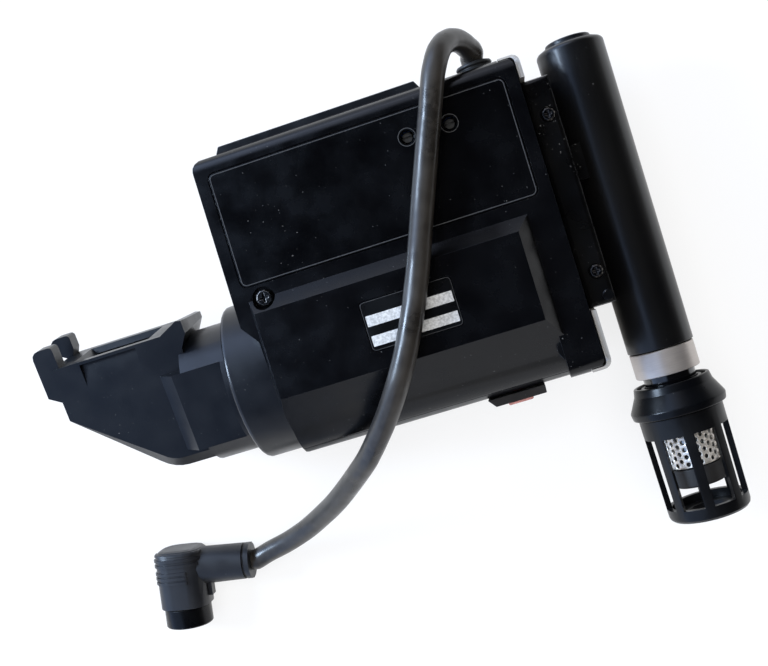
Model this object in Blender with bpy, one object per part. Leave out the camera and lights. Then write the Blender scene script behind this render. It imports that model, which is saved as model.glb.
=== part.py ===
"""Crosswise electronic viewfinder with a turning mirror box and an extending microphone.

The object lies on a table as it is worn. X runs along the picture tube towards the microphone, Y towards
the side that the eye looks into, and Z up. While the pieces are made, X and Y count from the middle of the
housing. At the end everything is moved so that the origin is under the middle of the whole object.
"""
import math

import bmesh
import bpy
from mathutils import Matrix, Vector
from mathutils.geometry import interpolate_bezier

MM = 0.001

# Values that many pieces share
CLEAR = 0.3 * MM
OVERRUN = 2.0 * MM
WELD = 0.002 * MM
WALL = 2.0 * MM
FINE_STEPS = 40
ROUND_STEPS = 28
SMALL_STEPS = 16
SCREW_STEPS = 10
ARC_STEPS = 4
CURVE_STEPS = 21
HANDLE_SHARE = 1 / 6

# Housing
HOUSING_WIDTH = 81.2 * MM
HOUSING_HEIGHT = 77.0 * MM
COVER_LEVEL = 45.0 * MM
PARTING_LEVEL = 38.0 * MM
CORNER_RADIUS = 3.0 * MM
COVER_EDGE_RADIUS = 3.5 * MM
BACK_EDGE_RADIUS = 3.0 * MM
BELLY_RADIUS = 9.0 * MM
BELLY_CENTRE_LEVEL = 33.5 * MM
BELLY_SWEEP = math.radians(73)
SLOPE_EXTRA = math.radians(18)
CHEEK_WIDTH = 8.6 * MM
CHEEK_FOOT = 30.0 * MM
NOTCH_ABOVE_AXIS = 13.4 * MM
NOTCH_RUN = 4.5 * MM
NOTCH_DEPTH = 3.4 * MM
NOTCH_TAPER = 1.2 * MM
SEAT_DEPTH = 3.6 * MM
SEAT_BACKING = 9.0 * MM

# Raised part of the cover over the picture tube
BULGE_RISE = 3.3 * MM
BULGE_BACK_REACH = 18.9 * MM
BULGE_TOP_RUN = 3.3 * MM
BULGE_FACE_HEIGHT = 21.5 * MM
BULGE_LEFT_INSET = 0.3 * MM
BULGE_LEFT_RUN = 1.2 * MM
BULGE_RIGHT_INSET = 7.3 * MM
BULGE_RIGHT_RUN = 3.1 * MM

# Picture tube axis, which the collar and the mirror box share
TUBE_AXIS_INSET = 21.1 * MM
TUBE_AXIS_Z = 21.8 * MM

# Label, sticker and the printed adjustment holes
LABEL_MARGIN = 3.3 * MM
LABEL_BACK_INSET = 4.6 * MM
LABEL_FRONT_GAP = 3.6 * MM
LABEL_RADIUS = 1.6 * MM
LABEL_THICKNESS = 0.35 * MM
LABEL_SINK = 0.05 * MM
STICKER_WIDTH = 22.4 * MM
STICKER_HEIGHT = 11.8 * MM
STICKER_CENTRE_X = 0.6 * MM
STICKER_OFFSET = 4.6 * MM
STICKER_THICKNESS = 0.3 * MM
STICKER_RADIUS = 0.8 * MM
TRIMMER_INSET = 11.0 * MM
FOCUS_INSET = 28.9 * MM
TRIMMER_PITCH = 10.5 * MM
TRIMMER_HOLE_RADIUS = 1.75 * MM

# Screws
COVER_SCREW_INSET = 7.8 * MM
COVER_SCREW_DROP = 0.1 * MM
COVER_SCREW_RADIUS = 2.2 * MM
COVER_SCREW_HEAD = 1.2 * MM
COVER_SCREW_LENGTH = 10.0 * MM
COVER_RECESS_RADIUS = 2.9 * MM
COVER_RECESS_DEPTH = 1.4 * MM
COVER_BOSS_RADIUS = 4.1 * MM
COVER_BOSS_SINK = 0.4 * MM
LEDGE_DEPTH = 6.0 * MM
SCREW_SHAFT_RADIUS = 1.0 * MM
SCREW_BOSS_RADIUS = 3.0 * MM
SCREW_HOLE_END = 1.0 * MM
WELL_RADIUS = 2.6 * MM
WELL_WALL = 1.3 * MM
WELL_DEPTH = 28.0 * MM
BACK_SCREW_RADIUS = 2.1 * MM
BACK_SCREW_HEAD = 1.3 * MM
BACK_SCREW_LENGTH = 13.0 * MM
WELL_INSET = 6.8 * MM
WELL_RIGHT_DROP = 17.5 * MM
WELL_FRONT_INSET = 7.0 * MM

# End plate, rail and gland on the outside of the housing
PLATE_THICKNESS = 1.2 * MM
PLATE_FLANGE_THICKNESS = 0.9 * MM
PLATE_FLANGE_PROUD = 0.4 * MM
PLATE_FLANGE_LENGTH = 3.6 * MM
PLATE_BEND_RADIUS = 2.4 * MM
PLATE_CORNER_RADIUS = 3.6 * MM
PLATE_EDGE_INSET = 0.6 * MM
RAIL_LEFT_INSET = 5.7 * MM
RAIL_RIGHT_INSET = 22.8 * MM
RAIL_THICKNESS = 1.8 * MM
RAIL_BOTTOM = 12.0 * MM
RAIL_WIDTH = 28.0 * MM
RAIL_CHAMFER = 1.0 * MM
GLAND_INSET = 8.8 * MM
GLAND_Z = 27.0 * MM
GLAND_FLANGE_RADIUS = 4.9 * MM
GLAND_FLANGE_LENGTH = 2.0 * MM
GLAND_GROOVE_RADIUS = 3.9 * MM
GLAND_GROOVE_LENGTH = 0.6 * MM
GLAND_LIP_RADIUS = 4.6 * MM
GLAND_LIP_LENGTH = 0.9 * MM
GLAND_SPIGOT_RADIUS = 3.3 * MM
GLAND_NUT_RADIUS = 4.4 * MM
GLAND_NUT_LENGTH = 2.2 * MM

# Tally lamp block
TALLY_INSET = 29.5 * MM
TALLY_LENGTH = 14.4 * MM
TALLY_DEPTH = 2.0 * MM
TALLY_BOTTOM = 23.0 * MM
TALLY_WIDTH = 13.0 * MM
TALLY_SLOPE = 1.6 * MM
TALLY_LENS_INSET = 4.5 * MM
TALLY_LENS_LENGTH = 6.4 * MM
TALLY_LENS_WIDTH = 5.0 * MM
TALLY_LENS_THICKNESS = 0.9 * MM
TALLY_LENS_PROUD = 0.5 * MM
TALLY_LAMP_RADIUS = 1.5 * MM
TALLY_LAMP_LENGTH = 4.6 * MM
TALLY_HOLDER_LENGTH = 2.4 * MM
TALLY_HOLDER_RADIUS = 2.6 * MM
LAMP_DOME_SHARES = [(0, 0), (0.6, 0.2), (1, 0.7)]

# Collar and mirror box, along X from the housing's left wall
COLLAR_RADIUS = 20.6 * MM
COLLAR_LENGTH = 11.2 * MM
COLLAR_BORE_RADIUS = 17.6 * MM
COLLAR_SPIGOT_RADIUS = 18.6 * MM
COLLAR_SPIGOT_LENGTH = 3.2 * MM
COLLAR_EDGE = 0.8 * MM
NECK_RADIUS = COLLAR_BORE_RADIUS - CLEAR
NECK_BORE_RADIUS = 15.6 * MM
LIGHT_BORE_RADIUS = 12.4 * MM
LIGHT_BORE_OUT = 7.4 * MM
RETAINER_RADIUS = 18.3 * MM
RETAINER_LENGTH = 1.2 * MM
TILT = math.radians(11.2)
BOX_OUTREACH = 54.2 * MM
BOX_HALF_DEPTH = 9.7 * MM
BOX_WALL = 2.1 * MM
RIM_HEIGHT = 20.2 * MM
BOX_LEFT_FOOT = 6.1 * MM
BOX_FLOOR = -15.0 * MM
BOX_BELLY_RADIUS = 10.0 * MM
BOX_FLOOR_CHAMFER = 3.0 * MM
POST_OUT = 23.4 * MM
POST_LENGTH = 6.6 * MM
POST_RISE = 2.6 * MM
POST_FAR_RISE = 0.8 * MM
POST_PEAK_SHARE = 0.8
POST_SHELF = 4.4 * MM
POST_FOOT = 7.2 * MM
NECK_OUT = 20.4 * MM
PAD_OUT = 22.8 * MM
PAD_LENGTH = 13.1 * MM
PAD_HALF_DEPTH = 14.0 * MM
PAD_HALF_HEIGHT = 10.3 * MM
EAR_LENGTH = 5.8 * MM
EAR_OUTREACH = 3.5 * MM
EAR_THICKNESS = 4.6 * MM
EAR_RISE = 5.8 * MM
EAR_DROP = 9.8 * MM
EAR_CORNER = 2.8 * MM
EAR_INSET = 0.7 * MM
EAR_ROUND = 1.0 * MM
WINDOW_INSET = 7.2 * MM
WINDOW_WIDTH = 18.4 * MM
WINDOW_HEIGHT = 12.8 * MM
WINDOW_FRAME = 1.6 * MM
WINDOW_BEVEL = 1.6 * MM
SCOOP_INSET = 8.0 * MM
SCOOP_LENGTH = 15.6 * MM
SCOOP_DROP = 6.6 * MM
SCOOP_EDGE = 0.8 * MM
SCOOP_DEPTH = 1.3 * MM
MIRROR_THICKNESS = 1.2 * MM
MIRROR_LENGTH = 22.0 * MM
MIRROR_SIDE_GAP = 0.3 * MM
FRAME_WIDTH = 1.4 * MM
FRAME_THICKNESS = 0.5 * MM

# Picture tube and what sits on it
BULB_RADIUS = 14.6 * MM
BULB_OUT = 4.9 * MM
BULB_LENGTH = 17.5 * MM
BULB_EDGE = 1.4 * MM
FACE_CROWN = 0.8 * MM
FUNNEL_LENGTH = 14.0 * MM
TUBE_NECK_RADIUS = 5.6 * MM
TUBE_END_INSET = 13.6 * MM
YOKE_LENGTH = 13.0 * MM
YOKE_FRONT_GAP = 1.2 * MM
YOKE_RADIUS = 12.5 * MM
YOKE_FLARE = 1.6 * MM
YOKE_COIL_LENGTH = 2.4 * MM
YOKE_COIL_RADIUS = 10.2 * MM
CENTRING_LENGTH = 1.4 * MM
CENTRING_RADIUS = 8.6 * MM
CENTRING_TAB = 3.0 * MM
SOCKET_RADIUS = 8.0 * MM
SOCKET_LENGTH = 4.5 * MM
SOCKET_BOARD_RADIUS = 11.0 * MM
BOARD_THICKNESS = 1.6 * MM
CLAMP_WALL = 1.8 * MM
CLAMP_LENGTH = 5.0 * MM
CLAMP_SETBACK = 1.0 * MM
CLAMP_FOOT_WIDTH = 14.0 * MM

# Main board
BOARD_SIDE_INSET = 11.2 * MM
BOARD_TUBE_GAP = 23.0 * MM
BOARD_BACK_INSET = 5.5 * MM
BOARD_LEVEL = 29.8 * MM
PILLAR_RADIUS = 2.2 * MM
PILLAR_INSET = 3.2 * MM
BOARD_SCREW_RADIUS = 1.6 * MM
BOARD_SCREW_HEAD = 0.9 * MM
BOARD_SCREW_LENGTH = 6.0 * MM
BOARD_SCREW_SHAFT = 0.8 * MM
TRIMMER_SIZE = 6.4 * MM
TRIMMER_BODY_HEIGHT = 5.2 * MM
SHAFT_RADIUS = 1.2 * MM
SHAFT_FLANGE_RADIUS = 2.2 * MM
SHAFT_FLANGE_LENGTH = 0.8 * MM
SHAFT_TIP_BELOW = 1.6 * MM
SHAFT_SLOT_WIDTH = 0.5 * MM
SHAFT_SLOT_DEPTH = 0.7 * MM
FLYBACK_INSET = 38.6 * MM
FLYBACK_SIZE_X = 18.0 * MM
FLYBACK_BACK_INSET = 11.5 * MM
FLYBACK_SIZE_Y = 18.0 * MM
FLYBACK_HEIGHT = 17.0 * MM
FLYBACK_CORE_WALL = 4.0 * MM
FLYBACK_CORE_DROP = 3.0 * MM
COMPONENT_EDGE = 0.5 * MM
COMPONENT_GAP = 1.0 * MM
CAN_RADIUS = 3.2 * MM
CAN_HEIGHT = 9.0 * MM
CAN_INSET = 9.4 * MM
CAN_DEPTH_SHARE = 0.74
CAN_PITCH = 8.2 * MM
CHIP_LENGTH = 19.0 * MM
CHIP_WIDTH = 6.6 * MM
CHIP_HEIGHT = 3.6 * MM
CHIP_DEPTH_SHARE = 0.23
HEADER_LENGTH = 12.0 * MM
HEADER_WIDTH = 5.0 * MM
HEADER_HEIGHT = 5.6 * MM
HEADER_DEPTH_SHARE = 0.18
LEAD_RADIUS = 1.0 * MM
LEAD_RISE = 4.0 * MM
LEAD_SPACING = 2.5 * MM
LEAD_BEVEL_STEPS = 1
FLYBACK_LEAD_LEVEL = 20.0 * MM
ANODE_CAP_RADIUS = 3.0 * MM
ANODE_CAP_TOP_RADIUS = 2.2 * MM
ANODE_CAP_HEIGHT = 1.6 * MM
ANODE_CAP_GAP = 0.7 * MM
FUNNEL_SHARES = [(1, 0), (0.86, 0.3)]
FACE_HALFWAY_SHARE = 0.3
ANODE_PLACE_SHARE = 0.75
ANODE_SHOULDER_SHARE = 0.55

# Microphone bracket and tube
BRACKET_WIDTH = 5.2 * MM
BRACKET_LIP = 2.0 * MM
BRACKET_BACK_INSET = 6.4 * MM
BRACKET_LENGTH = 56.3 * MM
BRACKET_BOTTOM = 3.0 * MM
BRACKET_TOP = 40.0 * MM
BRACKET_ROUND = 1.0 * MM
BRACKET_SCREW_RADIUS = 1.65 * MM
BRACKET_SCREW_HEAD = 0.9 * MM
BRACKET_SCREW_LENGTH = 7.0 * MM
BRACKET_SCREW_SHAFT = 0.8 * MM
BRACKET_SCREW_INSET_FRONT = 8.2 * MM
BRACKET_SCREW_INSET_BACK = 9.2 * MM
BRACKET_SCREW_SINK = 0.7 * MM
CRADLE_WIDTH = 5.6 * MM
CRADLE_LENGTH = 12.0 * MM
CRADLE_BOTTOM = 9.5 * MM
CRADLE_TOP = 19.5 * MM
CRADLE_INSET = 3.0 * MM
LUG_INSET = 30.3 * MM
LUG_LENGTH = 8.9 * MM
LUG_REACH = 3.0 * MM
LUG_BOTTOM = 25.0 * MM
LUG_TOP = 33.0 * MM
STUD_RADIUS = 1.3 * MM
STUD_HEIGHT = 1.2 * MM
STUD_INSET = 2.1 * MM
MIC_REACH = 13.6 * MM
MIC_AXIS_Z = 21.1 * MM
TUBE_BACK_RADIUS = 8.66 * MM
TUBE_FRONT_RADIUS = 8.36 * MM
TUBE_OVERHANG = 1.7 * MM
TUBE_LENGTH = 79.3 * MM
TUBE_ROUND = 1.4 * MM
TUBE_BORE_RADIUS = 7.3 * MM
CAP_RADIUS = 5.8 * MM
CAP_HEIGHT = 1.2 * MM
CAP_ROUND = 0.5 * MM
CAP_PLUG_LENGTH = 5.0 * MM
BAND_RADIUS = 8.15 * MM
BAND_LENGTH = 6.5 * MM
BAND_EDGE = 0.3 * MM
BOOM_RADIUS = 6.6 * MM
BOOM_WALL = 0.8 * MM
BOOM_VISIBLE = 2.2 * MM
BOOM_SOCKET = 2.0 * MM
BOOM_TRAVEL = 45.0 * MM
BOOM_BUSH_LENGTH = 6.0 * MM
BOOM_STOP_SPARE = 2.5 * MM
HEAD_TOP_RADIUS = 9.6 * MM
HEAD_STEP_RADIUS = 10.0 * MM
HEAD_STEP_LENGTH = 2.0 * MM
HEAD_RADIUS = 12.1 * MM
HEAD_LENGTH = 7.8 * MM
HEAD_SKIRT_LENGTH = 1.8 * MM
HEAD_FLOOR = 1.6 * MM
CAGE_RADIUS = 10.65 * MM
CAGE_END_RADIUS = 10.35 * MM
CAGE_WALL = 1.5 * MM
CAGE_LENGTH = 27.0 * MM
CAGE_RING_LENGTH = 4.9 * MM
CAGE_END_RING = 3.6 * MM
CAGE_END_ROUND = 1.6 * MM
CAGE_END_HOLE_RADIUS = 5.4 * MM
CAGE_SLOTS = 8
CAGE_SLOT_WIDTH = 5.6 * MM
CAGE_SLOT_PHASE = math.radians(-27)
CAGE_SPIGOT_LENGTH = 3.2 * MM
CAGE_RIB = 0.9 * MM
SLEEVE_RADIUS = 6.3 * MM
SLEEVE_WALL = 0.4 * MM
SLEEVE_LENGTH = 14.2 * MM
CAPSULE_LENGTH = 11.0 * MM
CAPSULE_FOOT_RADIUS = 6.7 * MM
CAPSULE_FOOT_LENGTH = 4.8 * MM
MOUNT_LENGTH = 3.4 * MM

# Plug, in its own directions: the arm along its X, the barrel along its -Y
PLUG_X = -87.1 * MM
PLUG_Y = -62.2 * MM
PLUG_TURN = math.radians(-9.6)
PLUG_LEFT = 6.8 * MM
PLUG_RIGHT = 7.0 * MM
PLUG_HALF_DEPTH = 6.6 * MM
PLUG_HEAD_TOP = 5.6 * MM
PLUG_HEAD_FOOT = 10.6 * MM
PLUG_ROUND = 4.8 * MM
PLUG_END_ROUND = 2.0 * MM
PLUG_REST = 0.1 * MM
ARM_LENGTH = 20.3 * MM
ARM_ROOT_RADIUS = 5.3 * MM
ARM_END_RADIUS = 5.1 * MM
ARM_GROOVE_INSET = 1.3 * MM
ARM_GROOVE_WIDTH = 0.7 * MM
ARM_GROOVE_DEPTH = 0.6 * MM
GRIP_RIB_WIDTH = 0.8 * MM
GRIP_RIB_HEIGHT = 0.4 * MM
GRIP_FOOT = 2.3 * MM
GRIP_LONG_END = 6.6 * MM
GRIP_SHORT_END = 2.9 * MM
GRIP_LONG_FIRST = 4.7 * MM
GRIP_LONG_PITCH = 1.5 * MM
GRIP_SHORT_FIRST = -0.5 * MM
GRIP_SHORT_PITCH = 1.3 * MM
GRIP_RIBS = 3
KEY_LENGTH = 3.6 * MM
KEY_HEIGHT = 1.1 * MM
KEY_WIDTH = 3.0 * MM
KEY_PLACE = 6.6 * MM
BARREL_RADIUS = 6.6 * MM
BARREL_WALL = 0.7 * MM
BARREL_LENGTH = 5.3 * MM
INSERT_LENGTH = 2.4 * MM
PIN_RADIUS = 0.55 * MM
PIN_LENGTH = 3.2 * MM
PIN_CIRCLE = 3.4 * MM
PIN_COUNT = 7
PIN_STEPS = 8
PIN_PHASE_SHARE = 0.5
CORD_RADIUS = 2.85 * MM
CORD_SPACING = 5.0 * MM
CORD_STRAIGHT = 1.2 * MM
CORD_BEVEL_STEPS = 2

# The cord's way in real places: out of the gland, over the cover, down to the table and to the plug
CORD_ROUTE = [
    (32.3, 45.0, 28.6), (31.4, 46.2, 31.0), (30.2, 47.1, 34.5), (28.5, 47.2, 38.5), (26.8, 46.4, 42.0),
    (25.3, 44.9, 44.8), (24.2, 43.2, 46.6), (23.1, 41.1, 47.9), (21.8, 38.4, 48.5), (19.8, 33.4, 48.5),
    (15.5, 22.7, 48.4), (11.4, 12.4, 48.5), (8.9, 5.7, 49.6), (6.3, -1.4, 51.4), (4.0, -6.9, 51.6),
    (1.1, -13.3, 51.6), (-3.2, -21.5, 51.5), (-7.2, -27.8, 50.6), (-12.4, -34.6, 47.5), (-18.8, -41.5, 42.6),
    (-23.6, -45.7, 37.9), (-33.6, -52.9, 27.0), (-41.1, -57.2, 19.4), (-47.7, -60.4, 14.2),
    (-54.7, -62.9, 10.0), (-61.1, -64.5, 7.6),
]


def arc(centre, radius, start, end, steps=ARC_STEPS):
    """Points on a circle in a plane, from one angle to another."""
    turn = (end - start) / steps
    return [(centre[0] + radius * math.cos(start + turn * i), centre[1] + radius * math.sin(start + turn * i))
            for i in range(steps + 1)]


def rounded(corners, radii, steps=ARC_STEPS):
    """An outline with its corners rounded; radii holds one radius for each corner, zero for a sharp one."""
    outline = []
    count = len(corners)
    for i, radius in enumerate(radii):
        here = Vector(corners[i])
        if radius <= 0:
            outline.append(tuple(here))
            continue
        before = (Vector(corners[i - 1]) - here).normalized()
        after = (Vector(corners[(i + 1) % count]) - here).normalized()
        half = before.angle(after) / 2
        centre = here + (before + after).normalized() * radius / math.sin(half)
        first = here + before * radius / math.tan(half) - centre
        last = here + after * radius / math.tan(half) - centre
        start = math.atan2(first.y, first.x)
        sweep = math.remainder(math.atan2(last.y, last.x) - start, math.tau)
        outline += arc(centre, radius, start, start + sweep, steps)
    return outline


def rectangle(left, right, bottom, top):
    return [(left, bottom), (right, bottom), (right, top), (left, top)]


def made(mesh_in_work):
    """Turns working geometry into an object whose faces point out."""
    bmesh.ops.recalc_face_normals(mesh_in_work, faces=mesh_in_work.faces)
    mesh = bpy.data.meshes.new("shape")
    mesh_in_work.to_mesh(mesh)
    mesh_in_work.free()
    thing = bpy.data.objects.new("shape", mesh)
    bpy.context.scene.collection.objects.link(thing)
    return thing


def along(axis, a, b, t):
    """A point from two places in the plane across an axis and one along it."""
    return {"X": (t, a, b), "Y": (a, t, b), "Z": (a, b, t)}[axis]


def prism(outline, low, high, axis):
    """A solid with the same outline all along an axis."""
    work = bmesh.new()
    ends = [[work.verts.new(along(axis, a, b, t)) for a, b in outline] for t in (low, high)]
    for ring in ends:
        work.faces.new(ring)
    for i in range(len(outline)):
        j = (i + 1) % len(outline)
        work.faces.new((ends[0][i], ends[0][j], ends[1][j], ends[1][i]))
    return made(work)


def block(low, high):
    return prism(rectangle(low[0], high[0], low[1], high[1]), low[2], high[2], "Z")


def loft(low_outline, low, high_outline, high, axis="Z"):
    """A solid between two outlines that have as many points as each other."""
    work = bmesh.new()
    ends = [[work.verts.new(along(axis, a, b, t)) for a, b in outline]
            for outline, t in ((low_outline, low), (high_outline, high))]
    for ring in ends:
        work.faces.new(ring)
    for i in range(len(low_outline)):
        j = (i + 1) % len(low_outline)
        work.faces.new((ends[0][i], ends[0][j], ends[1][j], ends[1][i]))
    return made(work)


def turned(profile, axis, centre=(0, 0), steps=ROUND_STEPS):
    """A turned solid. The profile holds (radius, place along the axis); it closes on itself, or on the axis."""
    work = bmesh.new()
    rings = []
    for radius, place in profile:
        if radius == 0:
            rings.append([work.verts.new(along(axis, centre[0], centre[1], place))])
            continue
        rings.append([work.verts.new(along(axis, centre[0] + radius * math.cos(math.tau * i / steps),
                                           centre[1] + radius * math.sin(math.tau * i / steps), place))
                      for i in range(steps)])
    closed = profile[0][0] > 0
    for k in range(len(rings) if closed else len(rings) - 1):
        one, two = rings[k], rings[(k + 1) % len(rings)]
        for i in range(steps):
            j = (i + 1) % steps
            corners = [one[i % len(one)], one[j % len(one)], two[j % len(two)], two[i % len(two)]]
            face = [v for n, v in enumerate(corners) if v not in corners[:n]]
            work.faces.new(face)
    return made(work)


def tube_profile(outer, inner, low, high):
    return [(inner, low), (outer, low), (outer, high), (inner, high)]


def rod_profile(radius, low, high):
    return [(0, low), (radius, low), (radius, high), (0, high)]


def combine(target, tools, operation):
    for tool in tools:
        change = target.modifiers.new("combine", "BOOLEAN")
        change.operation = operation
        change.object = tool
        graph = bpy.context.evaluated_depsgraph_get()
        mesh = bpy.data.meshes.new_from_object(target.evaluated_get(graph))
        target.modifiers.clear()
        target.data = mesh
        work = bmesh.new()
        work.from_mesh(mesh)
        bmesh.ops.remove_doubles(work, verts=work.verts, dist=WELD)
        bmesh.ops.dissolve_degenerate(work, edges=work.edges, dist=WELD)
        work.to_mesh(mesh)
        work.free()
        bpy.data.objects.remove(tool)
    return target


def cut(target, *tools):
    return combine(target, tools, "DIFFERENCE")


def join(target, *tools):
    return combine(target, tools, "UNION")


def keep(target, *tools):
    return combine(target, tools, "INTERSECT")


def copy_of(thing):
    twin = bpy.data.objects.new("shape", thing.data.copy())
    bpy.context.scene.collection.objects.link(twin)
    return twin


def merged(things):
    """One mesh from solids that don't touch each other."""
    work = bmesh.new()
    for thing in things:
        work.from_mesh(thing.data)
        bpy.data.objects.remove(thing)
    return made(work)


def soften(thing, width, pick, segments=2):
    """Bevels the edges that pick accepts, given the middle and the direction of each."""
    work = bmesh.new()
    work.from_mesh(thing.data)
    chosen = [edge for edge in work.edges
              if edge.calc_face_angle(0) > math.radians(25)
              and pick((edge.verts[0].co + edge.verts[1].co) / 2,
                       (edge.verts[1].co - edge.verts[0].co).normalized())]
    bmesh.ops.bevel(work, geom=chosen, offset=width, segments=segments, profile=0.5, affect="EDGES")
    work.to_mesh(thing.data)
    work.free()
    return thing


def lies_along(way, axis):
    """Whether an edge's direction is nearer to an axis than to the plane across it."""
    return abs(way["XYZ".index(axis)]) > math.sin(math.radians(45))


def moved(thing, matrix):
    thing.data.transform(matrix)
    return thing


def finish(name, colour, roughness, metallic=0.0):
    """A material with the colour of the piece, in linear light."""
    material = bpy.data.materials.new(name)
    material.use_nodes = True
    shader = material.node_tree.nodes["Principled BSDF"]
    shader.inputs["Base Color"].default_value = (*colour, 1)
    shader.inputs["Roughness"].default_value = roughness
    shader.inputs["Metallic"].default_value = metallic
    return material


def named(name, thing, colour, roughness, metallic=0.0, parent=None):
    """Gives a solid its name, its own material, its shading and its place in the tree."""
    thing.name = name
    thing.data.name = name
    thing.data.materials.clear()
    thing.data.materials.append(finish(name, colour, roughness, metallic))
    thing.data.shade_smooth()
    thing.data.set_sharp_from_angle(angle=math.radians(35))
    thing.parent = parent if parent else whole
    return thing


BLACK = (0.013, 0.014, 0.016)
DEEP_BLACK = (0.007, 0.007, 0.008)
RUBBER = (0.018, 0.018, 0.019)
STEEL = (0.42, 0.41, 0.40)
ALUMINIUM = (0.66, 0.65, 0.62)
BLACK_SCREW = (0.03, 0.03, 0.03)
GREY = (0.1, 0.1, 0.1)
FERRITE = (0.05, 0.05, 0.05)
CREAM = (0.6, 0.58, 0.5)
COPPER = (0.4, 0.12, 0.04)
BRASS = (0.7, 0.6, 0.35)
SILVER = (0.8, 0.8, 0.8)
GLASS = (0.55, 0.6, 0.58)
LAMINATE = (0.25, 0.14, 0.05)
BLUE = (0.03, 0.08, 0.22)
LENS_RED = (0.35, 0.05, 0.03)
LAMP_RED = (0.5, 0.04, 0.03)
LEAD_RED = (0.3, 0.02, 0.02)

for old in list(bpy.data.objects):
    bpy.data.objects.remove(old)


def empty(name, place, parent=None):
    pivot = bpy.data.objects.new(name, None)
    pivot.location = place
    pivot.parent = parent
    bpy.context.scene.collection.objects.link(pivot)
    return pivot


whole = empty("whole", (0, 0, 0))

# Places that several pieces share
left_wall = -HOUSING_WIDTH / 2
right_wall = HOUSING_WIDTH / 2
back_wall = HOUSING_HEIGHT / 2
front_wall = -HOUSING_HEIGHT / 2
tube_axis_y = front_wall + TUBE_AXIS_INSET
tube_axis = (tube_axis_y, TUBE_AXIS_Z)
notch_back = tube_axis_y + NOTCH_ABOVE_AXIS
collar_seat = left_wall + SEAT_DEPTH
bulge_level = COVER_LEVEL + BULGE_RISE
bulge_back = tube_axis_y + BULGE_BACK_REACH
bulge_face_top = bulge_back - BULGE_TOP_RUN
bulge_face_foot = bulge_face_top - BULGE_FACE_HEIGHT
belly_centre_y = front_wall + BELLY_RADIUS
belly_foot_angle = math.pi - BELLY_SWEEP
label_sides = (left_wall + LABEL_MARGIN, right_wall - LABEL_MARGIN, bulge_back + LABEL_FRONT_GAP,
               back_wall - LABEL_BACK_INSET)
sticker_y = tube_axis_y + STICKER_OFFSET
sticker_sides = (STICKER_CENTRE_X - STICKER_WIDTH / 2, STICKER_CENTRE_X + STICKER_WIDTH / 2,
                 sticker_y - STICKER_HEIGHT / 2, sticker_y + STICKER_HEIGHT / 2)
trimmer_y = back_wall - TRIMMER_INSET
focus_x = right_wall - FOCUS_INSET
bright_x = focus_x + TRIMMER_PITCH
cover_screw_spot = (left_wall + COVER_SCREW_INSET, bulge_back - COVER_SCREW_DROP)
gland_x = right_wall - GLAND_INSET
tally_left = right_wall - TALLY_INSET
tally_lens_left = tally_left + TALLY_LENS_INSET
plate_inner = right_wall + CLEAR
plate_outer = plate_inner + PLATE_THICKNESS
bracket_left = plate_outer + CLEAR
bracket_right = bracket_left + BRACKET_WIDTH
bracket_back = back_wall - BRACKET_BACK_INSET
bracket_front = bracket_back - BRACKET_LENGTH
mic_x = bracket_left + MIC_REACH
mic_axis = (mic_x, MIC_AXIS_Z)
tube_back = back_wall + TUBE_OVERHANG
board_left = left_wall + BOARD_SIDE_INSET
board_right = right_wall - BOARD_SIDE_INSET
board_front = tube_axis_y + BOARD_TUBE_GAP
board_back = back_wall - BOARD_BACK_INSET
flyback_left = right_wall - FLYBACK_INSET
flyback_front = back_wall - FLYBACK_BACK_INSET - FLYBACK_SIZE_Y
box_left = left_wall - BOX_OUTREACH
post_left = left_wall - POST_OUT
post_right = post_left + POST_LENGTH
neck_left = left_wall - NECK_OUT
pad_left = left_wall - PAD_OUT
window_left = box_left + WINDOW_INSET
scoop_left = box_left + SCOOP_INSET
light_bore_end = left_wall - LIGHT_BORE_OUT
bulb_front = left_wall - BULB_OUT
tube_end = right_wall - TUBE_END_INSET


# Housing: both halves are cut from one hollow body
def plan_outline(inset):
    """The housing seen from above, with the notch that makes room for the collar."""
    left, right = left_wall + inset, right_wall - inset
    front, back = front_wall + inset, back_wall - inset
    notch_x = left + NOTCH_DEPTH
    notch_top = notch_back + (SEAT_BACKING if inset else 0)
    corners = [(right, front), (right, back), (left, back), (left, notch_top), (notch_x, notch_top - NOTCH_RUN),
               (notch_x + NOTCH_TAPER, front)]
    radius = max(CORNER_RADIUS - inset, 0)
    return rounded(corners, [radius, radius, radius, 0, 0, 0])


def side_outline(inset):
    """The housing seen along X: rounded round the picture tube in front, with the bulge over it."""
    front, back = front_wall + inset, back_wall - inset
    level, top = COVER_LEVEL - inset, bulge_level - inset
    radius = BELLY_RADIUS - inset
    upper = inset * math.tan(math.radians(45) / 2)
    lower = inset * math.tan((math.pi / 2 - BELLY_SWEEP + SLOPE_EXTRA) / 2)
    belly = arc((belly_centre_y, BELLY_CENTRE_LEVEL), radius, belly_foot_angle, math.pi)
    corners = [(back, inset), (back, level), (bulge_back - upper, level), (bulge_face_top - upper, top),
               (bulge_face_foot + lower, top)] + belly + [(front, inset)]
    radii = [max(BACK_EDGE_RADIUS - inset, 0), max(COVER_EDGE_RADIUS - inset, 0), 0, 0, 0]
    return rounded(corners, radii + [0] * len(belly) + [radius])


def cheek_outline(inset):
    """The square shoulder that the cover keeps beside the end plate."""
    front, level = front_wall + inset, COVER_LEVEL - inset
    inner = belly_centre_y + BELLY_RADIUS
    return rounded([(front, level), (front, CHEEK_FOOT), (inner, CHEEK_FOOT), (inner, level)],
                   [max(COVER_EDGE_RADIUS - inset, 0), 0, 0, 0])


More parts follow.
